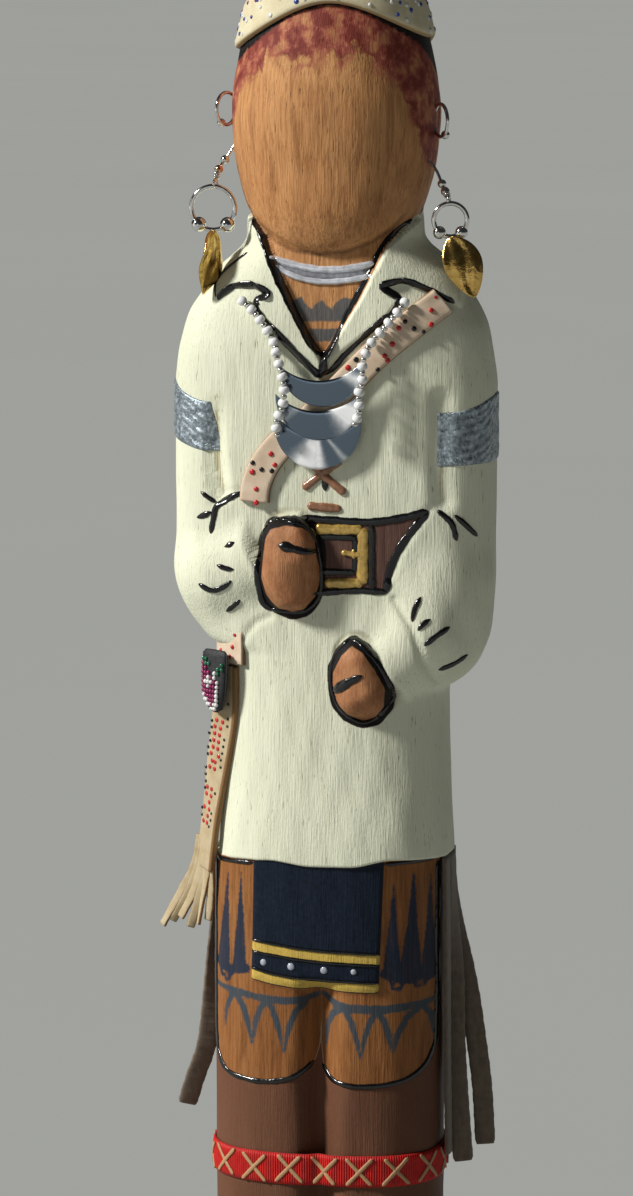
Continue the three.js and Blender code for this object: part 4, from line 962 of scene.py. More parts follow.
outlines = [  # glossy black lines: route in the front view, width in mm; the collar's thin outer edge and the hem lines are partly painted shadow
    ([(-20, 319.6), (-17.5, 317.2), (-15.9, 314.7), (-13.5, 309.5), (-10.1, 302.7), (-6.9, 296.4),
      (-3.4, 290.1), (-0.3, 286.2)], 1.35),
    ([(20, 319.6), (17.8, 318.2), (15.8, 316.1), (13.7, 313), (11.2, 307.3), (7.4, 300.4), (3.7, 293.1),
      (1.5, 288.5), (0, 285.9)], 1.35),
    ([(-0.1, 288), (0, 281.8)], 1.7),
    ([(-27.6, 299.6), (-25.5, 301.7), (-23.1, 303.1), (-18.3, 303.7), (-14.4, 301.9), (-17.2, 299.8),
      (-14.5, 294.8), (-11.5, 292), (-8.7, 288.9), (-4.7, 285.1), (-0.4, 281.4)], 1.45),
    # partly black paint, partly painted shadow where the collar's outer edge stands off the shoulder
    ([(-27.9, 300.4), (-28.3, 303.6), (-26.4, 306.4), (-23.6, 308.8), (-20.2, 311.4)], 0.32),
    ([(19, 300.9), (17.1, 302.1), (14.2, 304.1), (17.1, 305), (19.7, 305.2), (25.4, 303), (28.6, 301.2),
      (31.4, 299.6)], 1.3),
    ([(19, 300.9), (16.5, 297.4), (13, 294.3), (9, 290.8), (5.4, 287.5), (2.7, 284.3), (0.1, 282.1)], 1.3),
    ([(-9, 246.5), (1, 246), (11.8, 245.7), (19.1, 246.8), (25.9, 248.5)], 1.5),
    ([(25.8, 248.3), (21.8, 243.4), (18.6, 238.6), (16.5, 233.7), (15.8, 229.7), (15.9, 228.2)], 1.6),
    ([(-2.4, 227.6), (3, 228.1), (7.5, 228.5), (16.1, 228.3)], 1.35),
    ([(11.9, 245.6), (12, 228.4)], 1.3),
    ([(-10.6, 246.4), (-13.5, 245.3), (-15.4, 241.6), (-16.2, 236.6), (-16.2, 229.4), (-15.2, 224.6),
      (-12.7, 223.0)], 1.2),
    ([(-13.4, 223.4), (-8.5, 222.7), (-4.3, 223.3), (-1.4, 226.4), (-0.7, 234.6), (-1.6, 241.1),
      (-3.8, 244.6), (-6.6, 246.2), (-10.8, 246.5)], 0.85),
    ([(-10.3, 240.3, 1), (-8.6, 240.1, 1.5), (-6.6, 239.6, 1.2), (-3.6, 238.9, 0.9),
      (-0.9, 238.6, 0.8)], 1.3),
    ([(6.7, 216.8), (9, 216.2), (12.4, 213.3), (15.6, 208), (17.4, 202), (16.4, 200)], 1.05),
    ([(6.7, 216.8), (3.4, 213.2), (1.9, 208.8), (2, 204.5), (3.4, 200.3), (6.1, 197.2), (9.8, 195.4),
      (13, 196.4), (16.6, 200.4)], 0.7),
    ([(2.2, 203.1, 0.9), (5, 205, 1.5), (7.4, 206.5, 1.3), (10.6, 208.2, 0.8)], 1.3),
    ([(8.4, 241.8), (-1.7, 241.8)], 1.25),
    ([(7.9, 242.1), (7.8, 232.9)], 1.25),
    ([(8.3, 233.1), (-0.8, 233)], 1.25),
    ([(0.2, 259.4), (0.3, 253.2)], 1.3),
    ([(-31.6, 251.9), (-29.6, 250.6), (-27.7, 249.5)], 1.0),
    ([(-20.5, 252.2), (-23.2, 251.2), (-25.8, 249.6), (-27.4, 248.4), (-28.2, 245.4), (-28.9, 241.6)], 1.15),
    ([(-32.7, 245.3), (-30.8, 246), (-28.8, 247)], 1.15),
    ([(-24.9, 238.7), (-22.3, 240)], 1.0),
    ([(-26.8, 234.2), (-24.5, 233.5), (-22.3, 233.3)], 1.0),
    ([(-31.7, 229.1), (-28.1, 227.7), (-25, 228.8), (-23, 230.4)], 1.1),
    ([(-24.9, 222.2), (-23, 223.6), (-21.1, 225.4)], 1.0),
    ([(27.9, 248.7), (30, 247), (31.3, 245.6), (32.7, 241)], 1.1),
    ([(32.1, 247.5), (34.6, 245), (37.4, 241.8)], 1.0),
    ([(24.3, 227.4), (22.9, 224.4), (22.3, 221.3)], 1.0),
    ([(26.8, 222), (25.2, 220.8), (23.8, 219.2)], 1.0),
    ([(31.4, 219.8), (28.4, 217.8), (25.4, 215.4)], 1.1),
    ([(35.1, 211.9), (32, 210), (28.4, 208.7)], 1.0),
    ([(-29.1, 158), (-29.3, 140), (-29.4, 120), (-29.2, 113), (-28.4, 107.9), (-26, 104.1), (-20.5, 102.7),
      (-13.8, 102.7), (-7.9, 104.1), (-4.9, 105.9), (-2.8, 107.8)], 1.05),
    ([(-0.9, 106.8), (1.6, 103.8), (5.6, 102.7), (9.4, 102.4), (17.8, 103.1), (22, 104.5), (25, 107.2),
      (26.6, 111.4), (27, 118), (27, 140), (27, 158.4)], 1.05),
    # black paint along the hem that is also painted shadow under the hem's step
    ([(-29, 158.0), (-23, 158.4), (-18, 158.6)], 0.9),
    ([(15.2, 159.4), (22, 159.7), (27, 159.4)], 0.9),
    ([(-18.4, 139.1), (-3, 137.4), (7, 136.9), (14.2, 136.6)], 0.65),
    ([(-18.4, 136.1), (-3, 134.5), (7, 134.0), (14, 133.7)], 0.6),
    ([(-18.6, 132.0), (-13, 130.8), (-3, 129.8), (7, 129.5), (13.9, 129.2)], 0.65),
]
buckleBars = [
    ([(-2.2, 243.6), (4, 243.6), (9.8, 243.8)], 2.0),
    ([(9.8, 244.2), (9.75, 237), (9.7, 230)], 2.2),
    ([(0.2, 230.3), (5, 230.3), (9.9, 230.4)], 2.0),
    ([(4.3, 238, 1.3), (5.6, 237.8, 1), (7.4, 237.5, 1), (10, 237.6, 1)], 1.15),
    ([(7.4, 239), (7.5, 236.3)], 0.9),
]
frontLacing = [
    ([(-5.3, 253.6), (-0.5, 257.4), (4.4, 261)], 1.55),
    ([(-4.4, 261), (-0.5, 257.4), (5.4, 252.6)], 1.6),
    ([(-4.2, 249.4), (4.4, 248.8)], 1.7),
]

makePiece("painted_outlines", paintLines(outlines), blackPaint, "painted_wood")
makePiece("painted_buckle", paintLines(buckleBars, high=0.7, thin=0.7), goldPaint, "painted_wood")
makePiece("painted_front_lacing", paintLines(frontLacing, high=0.75, thin=0.7), copperPaint, "painted_wood")
makePiece("cloth_dots", frontDots([(-15.2, 133.5), (-8, 132.9), (0.4, 132.3), (7.9, 132.1)], 0.85, 0.4),
          greyDots, "painted_wood")
print("outlines painted")


neckBands = {
    "upper": [(-14.4, 311.3), (-7.7, 309.6), (-1.4, 308.6), (4.8, 308.8), (12, 310.2)],
    "lower": [(-13, 307.9), (-7.6, 305.3), (-1.9, 304.2), (4.9, 304.5), (11.6, 305.8)],
}
neckRidges = {"upper": (-0.75, 1.35), "lower": (0.65, 1.15)}  # each ridge's shift up and its width


def makeNeckBand():
    # a band between two lines on the neck, with a ridge of paint along each edge and a dished middle; one
    # silver paint in two tones, painted highlight on the ridges and painted shade in the middle
    upper, lower = (smoothLine(neckBands[key], 70) for key in ("upper", "lower"))
    t = np.linspace(0, 1, 21)
    flat = lower[:, None] + (upper - lower)[:, None] * t[None, :, None]
    spots = onFront(flat[..., 0], flat[..., 1])
    normal = slopeOf(carved, spots)
    ridge = np.exp(-(((t - 0.14) / 0.12) ** 2)) + np.exp(-(((t - 0.86) / 0.12) ** 2))
    rise = (0.14 + 0.3 * ridge) * np.sqrt(np.clip(np.minimum(t, 1 - t) / 0.06, 0, 1))
    run = np.linspace(0, 1, len(flat))
    ends = np.sqrt(np.clip(np.minimum(run, 1 - run) / 0.03, 0, 1))
    lift = rise[None, :] * ends[:, None]
    outer = spots + normal * lift[..., None]
    inner = (spots - normal * 0.3)[:, ::-1]
    makePiece("neck_band", closedGrid(np.concatenate([outer, inner], 1)), shadedSilverPaint, "painted_wood")
    ridges = []
    for key, (shift, wide) in neckRidges.items():
        ridges.append(paintLine([(x, z + shift) for x, z in neckBands[key]], wide, 0.75, seed=wide))
    makePiece("neck_band_ridges", joined(ridges), highlitSilverPaint, "painted_wood")


makeNeckBand()


def glitterMaterial():  # small flakes, each with its own tint and gloss, on crumpled foil
    material, tree, shader = newMaterial("glitter foil", Metallic=0.55)
    flake = addNode(tree, "TexVoronoi", {"Vector": coordinates(tree, (1, 1, 1)), "Scale": 1.9})
    crumple = noise(tree, coordinates(tree, (1, 1, 0.8)), 0.55, 5, 0.65)
    tint = addNode(tree, "SeparateColor", {0: flake.outputs["Color"]}).outputs[0]
    color = blend(tree, tint, (0.22, 0.27, 0.30), (0.52, 0.60, 0.66))
    color = blend(tree, spread(tree, crumple, 0.3, 0.6), (0.14, 0.17, 0.19), color)
    tree.links.new(color, shader.inputs["Base Color"])
    tree.links.new(calc(tree, "MULTIPLY_ADD", tint, 0.3, 0.22), shader.inputs["Roughness"])
    height = calc(tree, "MULTIPLY_ADD", tint, 0.4, calc(tree, "MULTIPLY", crumple, 1.6))
    addBump(tree, shader, height, 0.9, 0.3)
    return material


armbands = {  # spoke angles of the front and back edge, and the heights of the top and low edge at both
    "armband_left": {"angles": (-1.06, -2.12), "top": (274.6, 279.2), "low": (262, 264.6)},
    "armband_right": {"angles": (1.06, 2.12), "top": (272.8, 276), "low": (259.4, 259.6)},
}


def makeArmband(name, plan, material):
    # a thin crumpled sheet that follows the sleeve between two angles, its edges run down to the wood
    columns, rows = 130, 46
    t, s = np.linspace(0, 1, columns)[:, None], np.linspace(0, 1, rows)[None, :]
    angle = plan["angles"][0] + (plan["angles"][1] - plan["angles"][0]) * t + 0 * s
    top = plan["top"][0] + (plan["top"][1] - plan["top"][0]) * ease(0, 0.35, t)
    low = plan["low"][0] + (plan["low"][1] - plan["low"][0]) * ease(0, 0.35, t)
    z = low + (top - low) * s + 0.25 * np.sin(9 * t + 3 * s)
    spots = onSpoke(angle, z)
    normal = slopeOf(carved, spots)
    edge = np.sqrt(np.clip(np.minimum(np.minimum(t, 1 - t) * 60, np.minimum(s, 1 - s) * 30), 0, 1))
    x, y, zz = np.moveaxis(spots, -1, 0)
    crumple = np.sin(1.9 * zz + 2 * np.sin(0.8 * y)) * np.sin(1.5 * y + 1.3 * x)
    crumple = crumple + np.sin(3.1 * zz - 2.3 * y + x)
    lift = (0.34 + 0.07 * crumple) * edge
    outer = spots + normal * lift[..., None]
    inner = (spots - normal * 0.25)[:, ::-1]
    makePiece(name, closedGrid(np.concatenate([outer, inner], 1)), material, "sheet_silver")


glitter = glitterMaterial()
for bandName, bandPlan in armbands.items():
    makeArmband(bandName, bandPlan, glitter)
print("armbands and neck bands laid")


# Hide: headband, sash, its end at the hip and its tail

hideSizes = {
    "gap": 0.35, "thick": 1.25, "headbandHigh": 11.5, "sashWide": 7.5,
    "endHigh": 9.2, "endTop": 217.6, "endAngles": (-0.9, -1.33), "skirtTop": 205,
}


def hideMaterial(name, pale, tan, edge):
    # tanned hide: clouded tan, a fine nap, and the cut edges golden brown by the stored edge value
    material, tree, shader = newMaterial(name, Roughness=0.82, Sheen_Weight=0.12)
    cloud = noise(tree, coordinates(tree, (1, 1, 1)), 0.28, 4)
    nap = noise(tree, coordinates(tree, (1, 1, 1)), 4.5, 4, 0.65)
    color = blend(tree, spread(tree, cloud, 0.3, 0.7), tan, pale)
    color = blend(tree, spread(tree, nap, 0.45, 0.7, 0, 0.3), color, tuple(0.8 * c for c in tan))
    side = calc(tree, "ADD", stored(tree, "cutEdge"), calc(tree, "MULTIPLY_ADD", nap, 0.5, -0.25))
    color = blend(tree, spread(tree, side, 0.35, 0.75), color, edge)
    tree.links.new(color, shader.inputs["Base Color"])
    addBump(tree, shader, nap, 0.6, 0.12)
    return material


sashHide = hideMaterial("sash hide", (0.76, 0.61, 0.46), (0.62, 0.47, 0.33), (0.22, 0.105, 0.038))
bandHide = hideMaterial("headband hide", (0.72, 0.66, 0.46), (0.62, 0.53, 0.33), (0.42, 0.27, 0.11))
tailHide = hideMaterial("tail hide", (0.54, 0.45, 0.285), (0.42, 0.31, 0.165), (0.25, 0.13, 0.045))


def layHide(name, spots, normal, thick, material, node, edgeRun, loops=False):
    # a strip of hide on a surface: its outer face, its rounded edges and its back, ring by ring
    count = spots.shape[1]
    s = np.sin(np.linspace(-0.5, 0.5, count) * np.pi)
    crown = np.sqrt(1 - np.abs(s) ** 14)
    outer = spots + normal * (0.35 + (thick - 0.35) * crown + 0.05 * np.sin(3 * s + edgeRun))[..., None]
    inner = (spots + normal * 0.02)[:, ::-1]
    grid = np.concatenate([outer, inner], 1)
    shape = closedGrid(grid, loops=loops)
    edge = np.concatenate([np.abs(s) ** 12, np.ones(count)])
    edge = np.broadcast_to(edge, grid.shape[:2]).ravel()
    edge = np.concatenate([edge, np.ones(len(shape[0]) - len(edge))])
    return makePiece(name, shape, material, "hide", node, attributes={"cutEdge": edge})


def spokeSheet(angles, low, high, columns, field, lift):
    # a sheet laid on a form between a low and a high edge, its columns closer together at both edges
    t = 0.5 + 0.5 * np.sin(np.linspace(-0.5, 0.5, columns) * np.pi)[None, :]
    z = low[:, None] + (high - low)[:, None] * t
    spots = onSpoke(angles[:, None] + 0 * t, z, field)
    normal = slopeOf(field, spots)
    return spots + normal * lift, normal


def makeHeadband():
    # a strip round the head between two heights that rise and fall by the angle
    count = 220
    angles = 2 * np.pi * np.arange(count) / count
    low = bandEdge(angles)
    spots, normal = spokeSheet(angles, low, low + hideSizes["headbandHigh"], 15, headForm, 0.12)
    layHide("headband_hide", spots, normal, hideSizes["gap"] + hideSizes["thick"], bandHide, "headband",
            angles[:, None], loops=True)
    rows = {"blue": [], "white": [], "plum": []}
    steps = 30
    for i in range(steps):  # a zigzag of blue dots, white ones between and dark red ones above
        angle = 2 * np.pi * (i + 0.3) / steps
        rise = (2.1, 4.6, 7.2, 4.6)[i % 4]
        rows["blue"] += [(angle, rise), (angle + 0.05, rise + 3.4)]
        rows["white"] += [(angle + 0.1, (1.5, 7.8)[i % 2]), (angle + 0.14, 4.4 + 1.2 * (i % 3))]
        rows["plum"] += [(angle + 0.02, 9.6 - 1.2 * (i % 2))]
    for key, material in (("blue", bluePaint), ("white", whitePaint), ("plum", plumPaint)):
        where = np.array(rows[key]) + chance.uniform(-1, 1, (len(rows[key]), 2)) * (0.012, 0.3)
        spots = onSpoke(where[:, 0], bandEdge(where[:, 0]) + where[:, 1], headForm)
        normal = slopeOf(headForm, spots)
        size = 0.58 * (1 + 0.2 * chance.uniform(-1, 1, len(spots)))
        lift = hideSizes["gap"] + hideSizes["thick"] + 0.08
        dots = dotsAt(spots + normal * lift, normal, size, 0.34)
        makePiece("headband_dots_" + key, dots, material, "hide")


makeHeadband()

sashRoute = [
    (28.8, 300.4), (19.9, 293.3), (12.6, 287.1), (5.2, 279.6), (-3.5, 270.8), (-11, 264.4), (-15.3, 258.5),
    (-17.1, 253.5), (-17.4, 250.2),
]


def makeSash():
    # the strap follows the front under it, and bridges small steps as stiff hide does
    line = smoothLine(sashRoute, 120)
    forward = unit(np.gradient(line, axis=0))
    side = np.stack([-forward[:, 1], forward[:, 0]], -1)
    s = np.sin(np.linspace(-0.5, 0.5, 17) * np.pi) / 2 * hideSizes["sashWide"]
    flat = line[:, None] + side[:, None] * s[None, :, None]
    spots = onFront(flat[..., 0], flat[..., 1])
    y = spots[..., 1]
    padded = np.pad(y, ((6, 6), (0, 0)), mode="edge")
    smooth = np.mean([padded[k:k + len(y)] for k in range(13)], 0)
    spots[..., 1] = np.minimum(smooth, y + 0.25) - 0.1
    across = np.gradient(spots, axis=1)
    ahead = np.gradient(spots, axis=0)
    normal = unit(np.cross(across, ahead))
    normal = np.where(normal[..., 1:2] > 0, -normal, normal)
    layHide("chest_sash_hide", spots, normal, hideSizes["gap"] + hideSizes["thick"], sashHide, "chest_sash",
            np.linspace(0, 6, len(line))[:, None])


makeSash()
sashLift = hideSizes["gap"] + hideSizes["thick"] + 0.1
sashRed = [
    (26.6, 301), (25.8, 297.9), (25.9, 294.5), (18.5, 293.8), (17, 289.9), (15.9, 285.9), (15.2, 287),
    (6.2, 284.1), (-13.1, 262.3), (-12.1, 259.6), (-17.6, 257.7), (-16.7, 253.5), (-16.7, 250.1),
    (-8.2, 268.6),
]
sashBlack = [
    (19.9, 295.3), (22.1, 293.6), (24.3, 292.8), (13.6, 283.7), (8.2, 286.1), (-17.5, 260), (-15.3, 258.4),
    (-12.8, 258.1),
]
makePiece("sash_dots_red", frontDots(sashRed, 0.68, 0.36, sashLift), redPaint, "hide")
makePiece("sash_dots_black", frontDots(sashBlack, 0.62, 0.36, sashLift), blackPaint, "hide")


def skirtOnly(x, y, z):  # the skirt's outline carried straight up
    return plainColumn(x, y, np.minimum(z, hideSizes["skirtTop"]))


def makeHipEnd():
    # the sash's end face at the hip, laid on the skirt's outline
    angles = np.linspace(*hideSizes["endAngles"], 40)
    top = np.full(len(angles), hideSizes["endTop"])
    spots, normal = spokeSheet(angles, top - hideSizes["endHigh"], top, 13, skirtOnly, 0.2)
    layHide("hip_sash_hide", spots, normal, hideSizes["gap"] + hideSizes["thick"], sashHide, "hip_sash_end",
            angles[:, None])
    where = np.array([(-0.97, 216.2), (-1.0, 213), (-1.03, 210.4), (-1.14, 215.6), (-1.17, 211.4)])
    spots = onSpoke(where[:, 0], where[:, 1], skirtOnly)
    normal = slopeOf(skirtOnly, spots)
    makePiece("hip_dots", dotsAt(spots + normal * (sashLift + 0.15), normal, 0.6, 0.34), redPaint, "hide")


makeHipEnd()

tailSizes = {  # a row of dots: colour, share aside and first step
    "wide": 8.6, "narrower": 1.4, "thick": 2.0, "strips": 6, "stripWide": 2.7, "stripThick": 1.0,
    "turn": -0.62, "turnsBy": 0.25,
    "dotRows": [("black", -0.43, 22), ("red", -0.24, 24), ("red", 0.02, 18), ("black", 0.2, 13)],
}


def makeTail():
    # a strip that turns edge-on as it falls, cut at its foot into a fringe of thin curling strips
    route = [(-25.9, -13.2, 207.9), (-26.1, -13, 194.5), (-27.4, -12.2, 186), (-28.9, -11.2, 176.5),
             (-30.4, -10.2, 167), (-32, -8.7, 155)]
    line = smoothLine(route, 90)
    t = np.linspace(0, 1, len(line))
    angle = tailSizes["turn"] - tailSizes["turnsBy"] * ease(0.3, 0.8, t)
    tailHint = np.stack([np.cos(angle), np.sin(angle), 0 * angle], -1)
    across, over = frameOf(line, tailHint)[1:]
    wide = (tailSizes["wide"] - tailSizes["narrower"] * t) / 2
    sides = 26
    shapes = [tube(line, across, over, wide, tailSizes["thick"] / 2, sides, 4.5)]
    turn = 2 * np.pi * (np.arange(sides) + 0.5) / sides
    edges = [np.tile(ease(0.5, 0.72, np.cos(turn)), len(line)), np.zeros(2)]
    strips = tailSizes["strips"]
    for i in range(strips):
        u = i / (strips - 1) - 0.5
        bend = (-0.5, 0.6, -0.2, 0.8, -0.7, 0.3, 0.5)[i % 7]
        points = [(-31.6 + 3.4 * u, -8.9 - 3 * u, 163),
                  (-32.6 + 4.6 * u, -8.5 - 3.4 * u + 0.2 * bend, 155.5),
                  (-34.8 + 8.2 * u + 0.4 * bend, -7.7 - 3.8 * u, 147.5),
                  (-37.6 + 12.4 * u, -7 - 4 * u + 0.6 * bend, 139.0 + 1.2 * (i % 3))]
        strip = smoothLine(points, 44)
        v = np.linspace(0, 1, 44)
        angle = -0.5 - 0.5 * u + 0.9 * bend * ease(0.25, 1, v)
        hint = np.stack([np.cos(angle), np.sin(angle), 0 * angle], -1)
        across, over = frameOf(strip, hint)[1:]
        wide = tailSizes["stripWide"] / 2 * (1 - 0.18 * v + 0.08 * wobble(v * 20, i))
        shapes.append(tube(strip, across, over, wide, tailSizes["stripThick"] / 2, 12, 3.6))
        turn = 2 * np.pi * (np.arange(12) + 0.5) / 12
        edges += [np.tile(0.9 * np.abs(np.cos(turn)) ** 4, 44), np.zeros(2)]
    makePiece("sash_tail_hide", joined(shapes), tailHide, "hide", "sash_tail",
              attributes={"cutEdge": np.concatenate(edges)})
    rows = {"red": ([], redPaint), "black": ([], blackPaint)}
    across, over = frameOf(line, tailHint)[1:]
    over = np.where(over[:, 1:2] > 0, -over, over)
    for key, offset, first in tailSizes["dotRows"]:
        picks = np.arange(first, 72, 3)
        picks = picks[chance.uniform(0, 1, len(picks)) < np.where(np.abs(picks - 38) < 8, 0.95, 0.6)]
        wide = (tailSizes["wide"] - tailSizes["narrower"] * t[picks])[:, None]
        aside = offset + 0.06 * chance.uniform(-1, 1, len(picks))[:, None]
        spots = line[picks] + across[picks] * wide * aside + over[picks] * (tailSizes["thick"] / 2)
        rows[key][0].append(dotsAt(spots, over[picks], 0.42 if key == "black" else 0.62, 0.25))
    for key, (shapes, material) in rows.items():
        makePiece("tail_dots_" + key, joined(shapes), material, "hide")


makeTail()
print("hide laid")


# The pouch: a soft bag with a beaded face, hung flat to the hip

pouchSizes = {  # with half width and half thickness as shares, by the share of the way down
    "wide": 8.6, "high": 15.8, "thick": 2.8, "turn": -0.62, "middle": (-28, -15.4), "top": 212.0,
    "bead": 0.56,
    "outline": [[0, 0.80], [0.06, 0.95], [0.2, 0.97], [0.5, 0.93], [0.8, 0.74], [0.94, 0.5], [1, 0.16]],
    "fullness": [[0, 0.45], [0.08, 0.7], [0.35, 0.82], [0.7, 1.0], [0.9, 0.72], [1, 0.15]],
}
pouchPattern = {"rows": 13, "columns": 7, "leafWide": 2.75, "edgeWide": 1.35}


def pouchMaterial():
    # near black leather, creased and finely pored
    material, tree, shader = newMaterial("dark pouch leather", Roughness=0.62)
    crease = noise(tree, coordinates(tree, (1, 1, 1)), 0.8, 5, 0.6)
    cells = addNode(tree, "TexVoronoi", {"Vector": coordinates(tree, (1, 1, 1)), "Scale": 2.6})
    pore = cells.outputs["Distance"]
    color = blend(tree, spread(tree, crease, 0.3, 0.7), (0.007, 0.008, 0.010), (0.022, 0.020, 0.022))
    tree.links.new(color, shader.inputs["Base Color"])
    addBump(tree, shader, calc(tree, "MULTIPLY_ADD", pore, 0.5, crease), 0.6, 0.18)
    return material


def beadPattern():
    # a plum leaf that leans to the right as it falls, a white flower of five beads on it, a white edge round
    # its lower half, and a green sprig at each side of the mouth
    row, column = np.mgrid[0:pouchPattern["rows"], 0:pouchPattern["columns"]]
    halfLeaf = pouchPattern["leafWide"] * np.sin(np.pi * np.clip(row - 1, 0, 11) / 11)
    fromLeaf = np.abs(column - (row - 2) / 3) - halfLeaf
    flower = np.abs(row - 6) + np.abs(column - 2) <= 1
    sprigs = (row > 0) & (row < 3) & (np.abs(column - row + 0.5) < 1)
    sprigs |= (row > 1) & (row < 5) & (column > 4) & (np.abs(column + row - 8.5) < 1)
    leaf = (row > 1) & (fromLeaf <= 0) & ~flower & ~sprigs
    edge = (fromLeaf > 0) & (fromLeaf < pouchPattern["edgeWide"]) & ~sprigs
    edge &= (row > 3) & ((column > 3) | (row > 7))
    return {"white": flower | edge, "plum": leaf, "green": sprigs}


def makePouch():
    # rings down the bag: full and rounded at the mouth, slack in the middle, gathered at the bottom
    turn = pouchSizes["turn"]
    wideWay = np.array([np.cos(turn), np.sin(turn), 0])
    outWay = np.array([np.sin(turn), -np.cos(turn), 0])
    middle = np.array([*pouchSizes["middle"], 0])
    t = np.linspace(0, 1, 46)
    z = pouchSizes["top"] - pouchSizes["high"] * t
    wide = pouchSizes["wide"] / 2 * along(pouchSizes["outline"], t)
    thick = pouchSizes["thick"] / 2 * along(pouchSizes["fullness"], t)
    line = middle + np.stack([0 * t, 0 * t, z], -1) + outWay * (0.25 * np.sin(3 * t))[:, None]
    body = tube(line, np.tile(wideWay, (46, 1)), np.tile(outWay, (46, 1)), wide, thick, 36, 2.6)
    seam = []
    for side in (-1, 1):
        rim = line + wideWay * (side * wide)[:, None]
        seam.append(tube(rim[2:-2], np.tile(wideWay, (42, 1)), np.tile(outWay, (42, 1)), 0.34, 0.26, 8))
    makePiece("pouch_leather", joined([body] + seam), pouchMaterial(), "dark_leather", "pouch")
    pattern = beadPattern()
    for key, material in (("white", whitePaint), ("plum", plumPaint), ("green", greenPaint)):
        row, column = np.nonzero(pattern[key])
        v, u = 0.07 + 0.072 * row, (column - 3) / 3.8
        halfWide, halfThick = np.interp(v, t, wide), np.interp(v, t, thick)
        bulge = (1 - np.abs(u) ** 2.6) ** (1 / 2.6)
        centres = np.stack([np.interp(v, t, line[:, k]) for k in range(3)], -1)
        spots = centres + wideWay * (u * halfWide)[:, None] + outWay * (halfThick * bulge + 0.12)[:, None]
        normal = np.tile(outWay, (len(spots), 1))
        size = pouchSizes["bead"] * (1 + 0.12 * chance.uniform(-1, 1, len(spots)))
        makePiece("pouch_beads_" + key, dotsAt(spots, normal, size, 0.5), material, "dark_leather")


makePouch()
print("pouch made")


# Ribbon round both legs, ribbed across, with crossed stitches

ribbonSizes = {
    "top": 84.4, "high": 8.0, "gap": 0.35, "thick": 0.6, "rib": 0.62, "dip": 1.3,
    "stitchWide": 1.05, "stitchPitch": 9.1, "firstStitch": 0.4,
}


def ribbonMaterial():
    # clouded red, with painted shade in the valleys between the ribs
    looks = {"Roughness": 0.5, "Sheen_Weight": 0.05, "Specular_IOR_Level": 0.25}
    material, tree, shader = newMaterial("red ribbed ribbon", **looks)
    cloud = noise(tree, coordinates(tree, (1, 1, 1)), 0.5, 3)
    thread = noise(tree, coordinates(tree, (4, 4, 9)), 1.0, 2)
    color = blend(tree, spread(tree, cloud, 0.3, 0.7), (0.42, 0.006, 0.005), (0.60, 0.016, 0.010))
    color = blend(tree, stored(tree, "ribValleyShade"), color, (0.24, 0.004, 0.004))
    tree.links.new(color, shader.inputs["Base Color"])
    addBump(tree, shader, thread, 0.6, 0.08)
    return material


def ribbonSpots(angles, z):  # on the legs' outline, dipped a little into the groove between them
    spots = onSpoke(angles, z, plainColumn)
    normal = slopeOf(plainColumn, spots)
    groove = np.exp(-(((spots[..., 0] - carving["midLeg"]) / 2.2) ** 2))
    return spots - normal * (ribbonSizes["dip"] * groove)[..., None], normal


def makeRibbon():
    # a band of ribs by a cosine of the length round the legs, with crossed stitches at equal steps
    base = ribbonSpots(2 * np.pi * np.arange(400) / 400, np.full(400, ribbonSizes["top"] - 4))[0]
    steps = np.linalg.norm(np.diff(np.concatenate([base, base[:1]]), axis=0), axis=1)
    run = np.concatenate([[0], np.cumsum(steps)])
    ribs = round(run[-1] / ribbonSizes["rib"])
    count = 7 * ribs
    even = np.arange(count) / count
    angles = np.interp(even * run[-1], run, 2 * np.pi * np.arange(401) / 400)
    t = np.linspace(0, 1, 9)
    z = ribbonSizes["top"] - ribbonSizes["high"] * (1 - t)[None, :] + 0 * angles[:, None]
    spots, normal = ribbonSpots(angles[:, None] + 0 * t[None, :], z)
    wave = np.cos(2 * np.pi * ribs * even)[:, None]
    rim = np.sqrt(1 - np.abs(2 * t - 1) ** 12)
    lift = ribbonSizes["gap"] + (ribbonSizes["thick"] - 0.08 + 0.09 * wave) * (0.4 + 0.6 * rim)
    outer = spots + normal * lift[..., None]
    inner = (spots + normal * 0.1)[:, ::-1]
    grid = np.concatenate([outer, inner], 1)
    # painted shade: how deep each point lies in a valley between ribs
    ribValleyShade = np.concatenate([ease(0.1, -0.9, wave) + 0 * t, ease(0.1, -0.9, wave) + 0 * t], 1).ravel()
    makePiece("garter_ribbon_woven", closedGrid(grid, loops=True), ribbonMaterial(), "ribbon",
              "garter_ribbon", attributes={"ribValleyShade": 0.55 * ribValleyShade})
    shapes = []
    pitch = run[-1] / round(run[-1] / ribbonSizes["stitchPitch"])
    middle = np.interp(np.arctan2(ribbonSizes["firstStitch"], 20), 2 * np.pi * np.arange(401) / 400, run)
    for k in range(round(run[-1] / pitch)):
        for lean in (-1, 1):
            v = np.linspace(0, 1, 24)
            at = (middle + k * pitch + lean * (v - 0.5) * 6.4 + 0.35 * np.sin(5 * k + lean)) % run[-1]
            angles = np.interp(at, run, 2 * np.pi * np.arange(401) / 400)
            height = ribbonSizes["top"] - ribbonSizes["high"] / 2 + (v - 0.5) * 6.9 + 0.25 * np.sin(3 * k)
            spots, normal = ribbonSpots(angles, height)
            spots = spots + normal * (ribbonSizes["gap"] + ribbonSizes["thick"] + 0.06 + 0.05 * lean)
            across = unit(np.cross(normal, np.gradient(spots, axis=0)))
            swell = np.sqrt(np.clip(np.minimum(v, 1 - v) / 0.05, 0.1, 1)) * (1 + 0.12 * wobble(v * 9, k))
            shapes.append(tube(spots, across, normal, ribbonSizes["stitchWide"] / 2 * swell, 0.2, 10))
    makePiece("ribbon_stitches", joined(shapes), stitchThread, "ribbon")


makeRibbon()
print("ribbon tied")


# Beads and gorgets

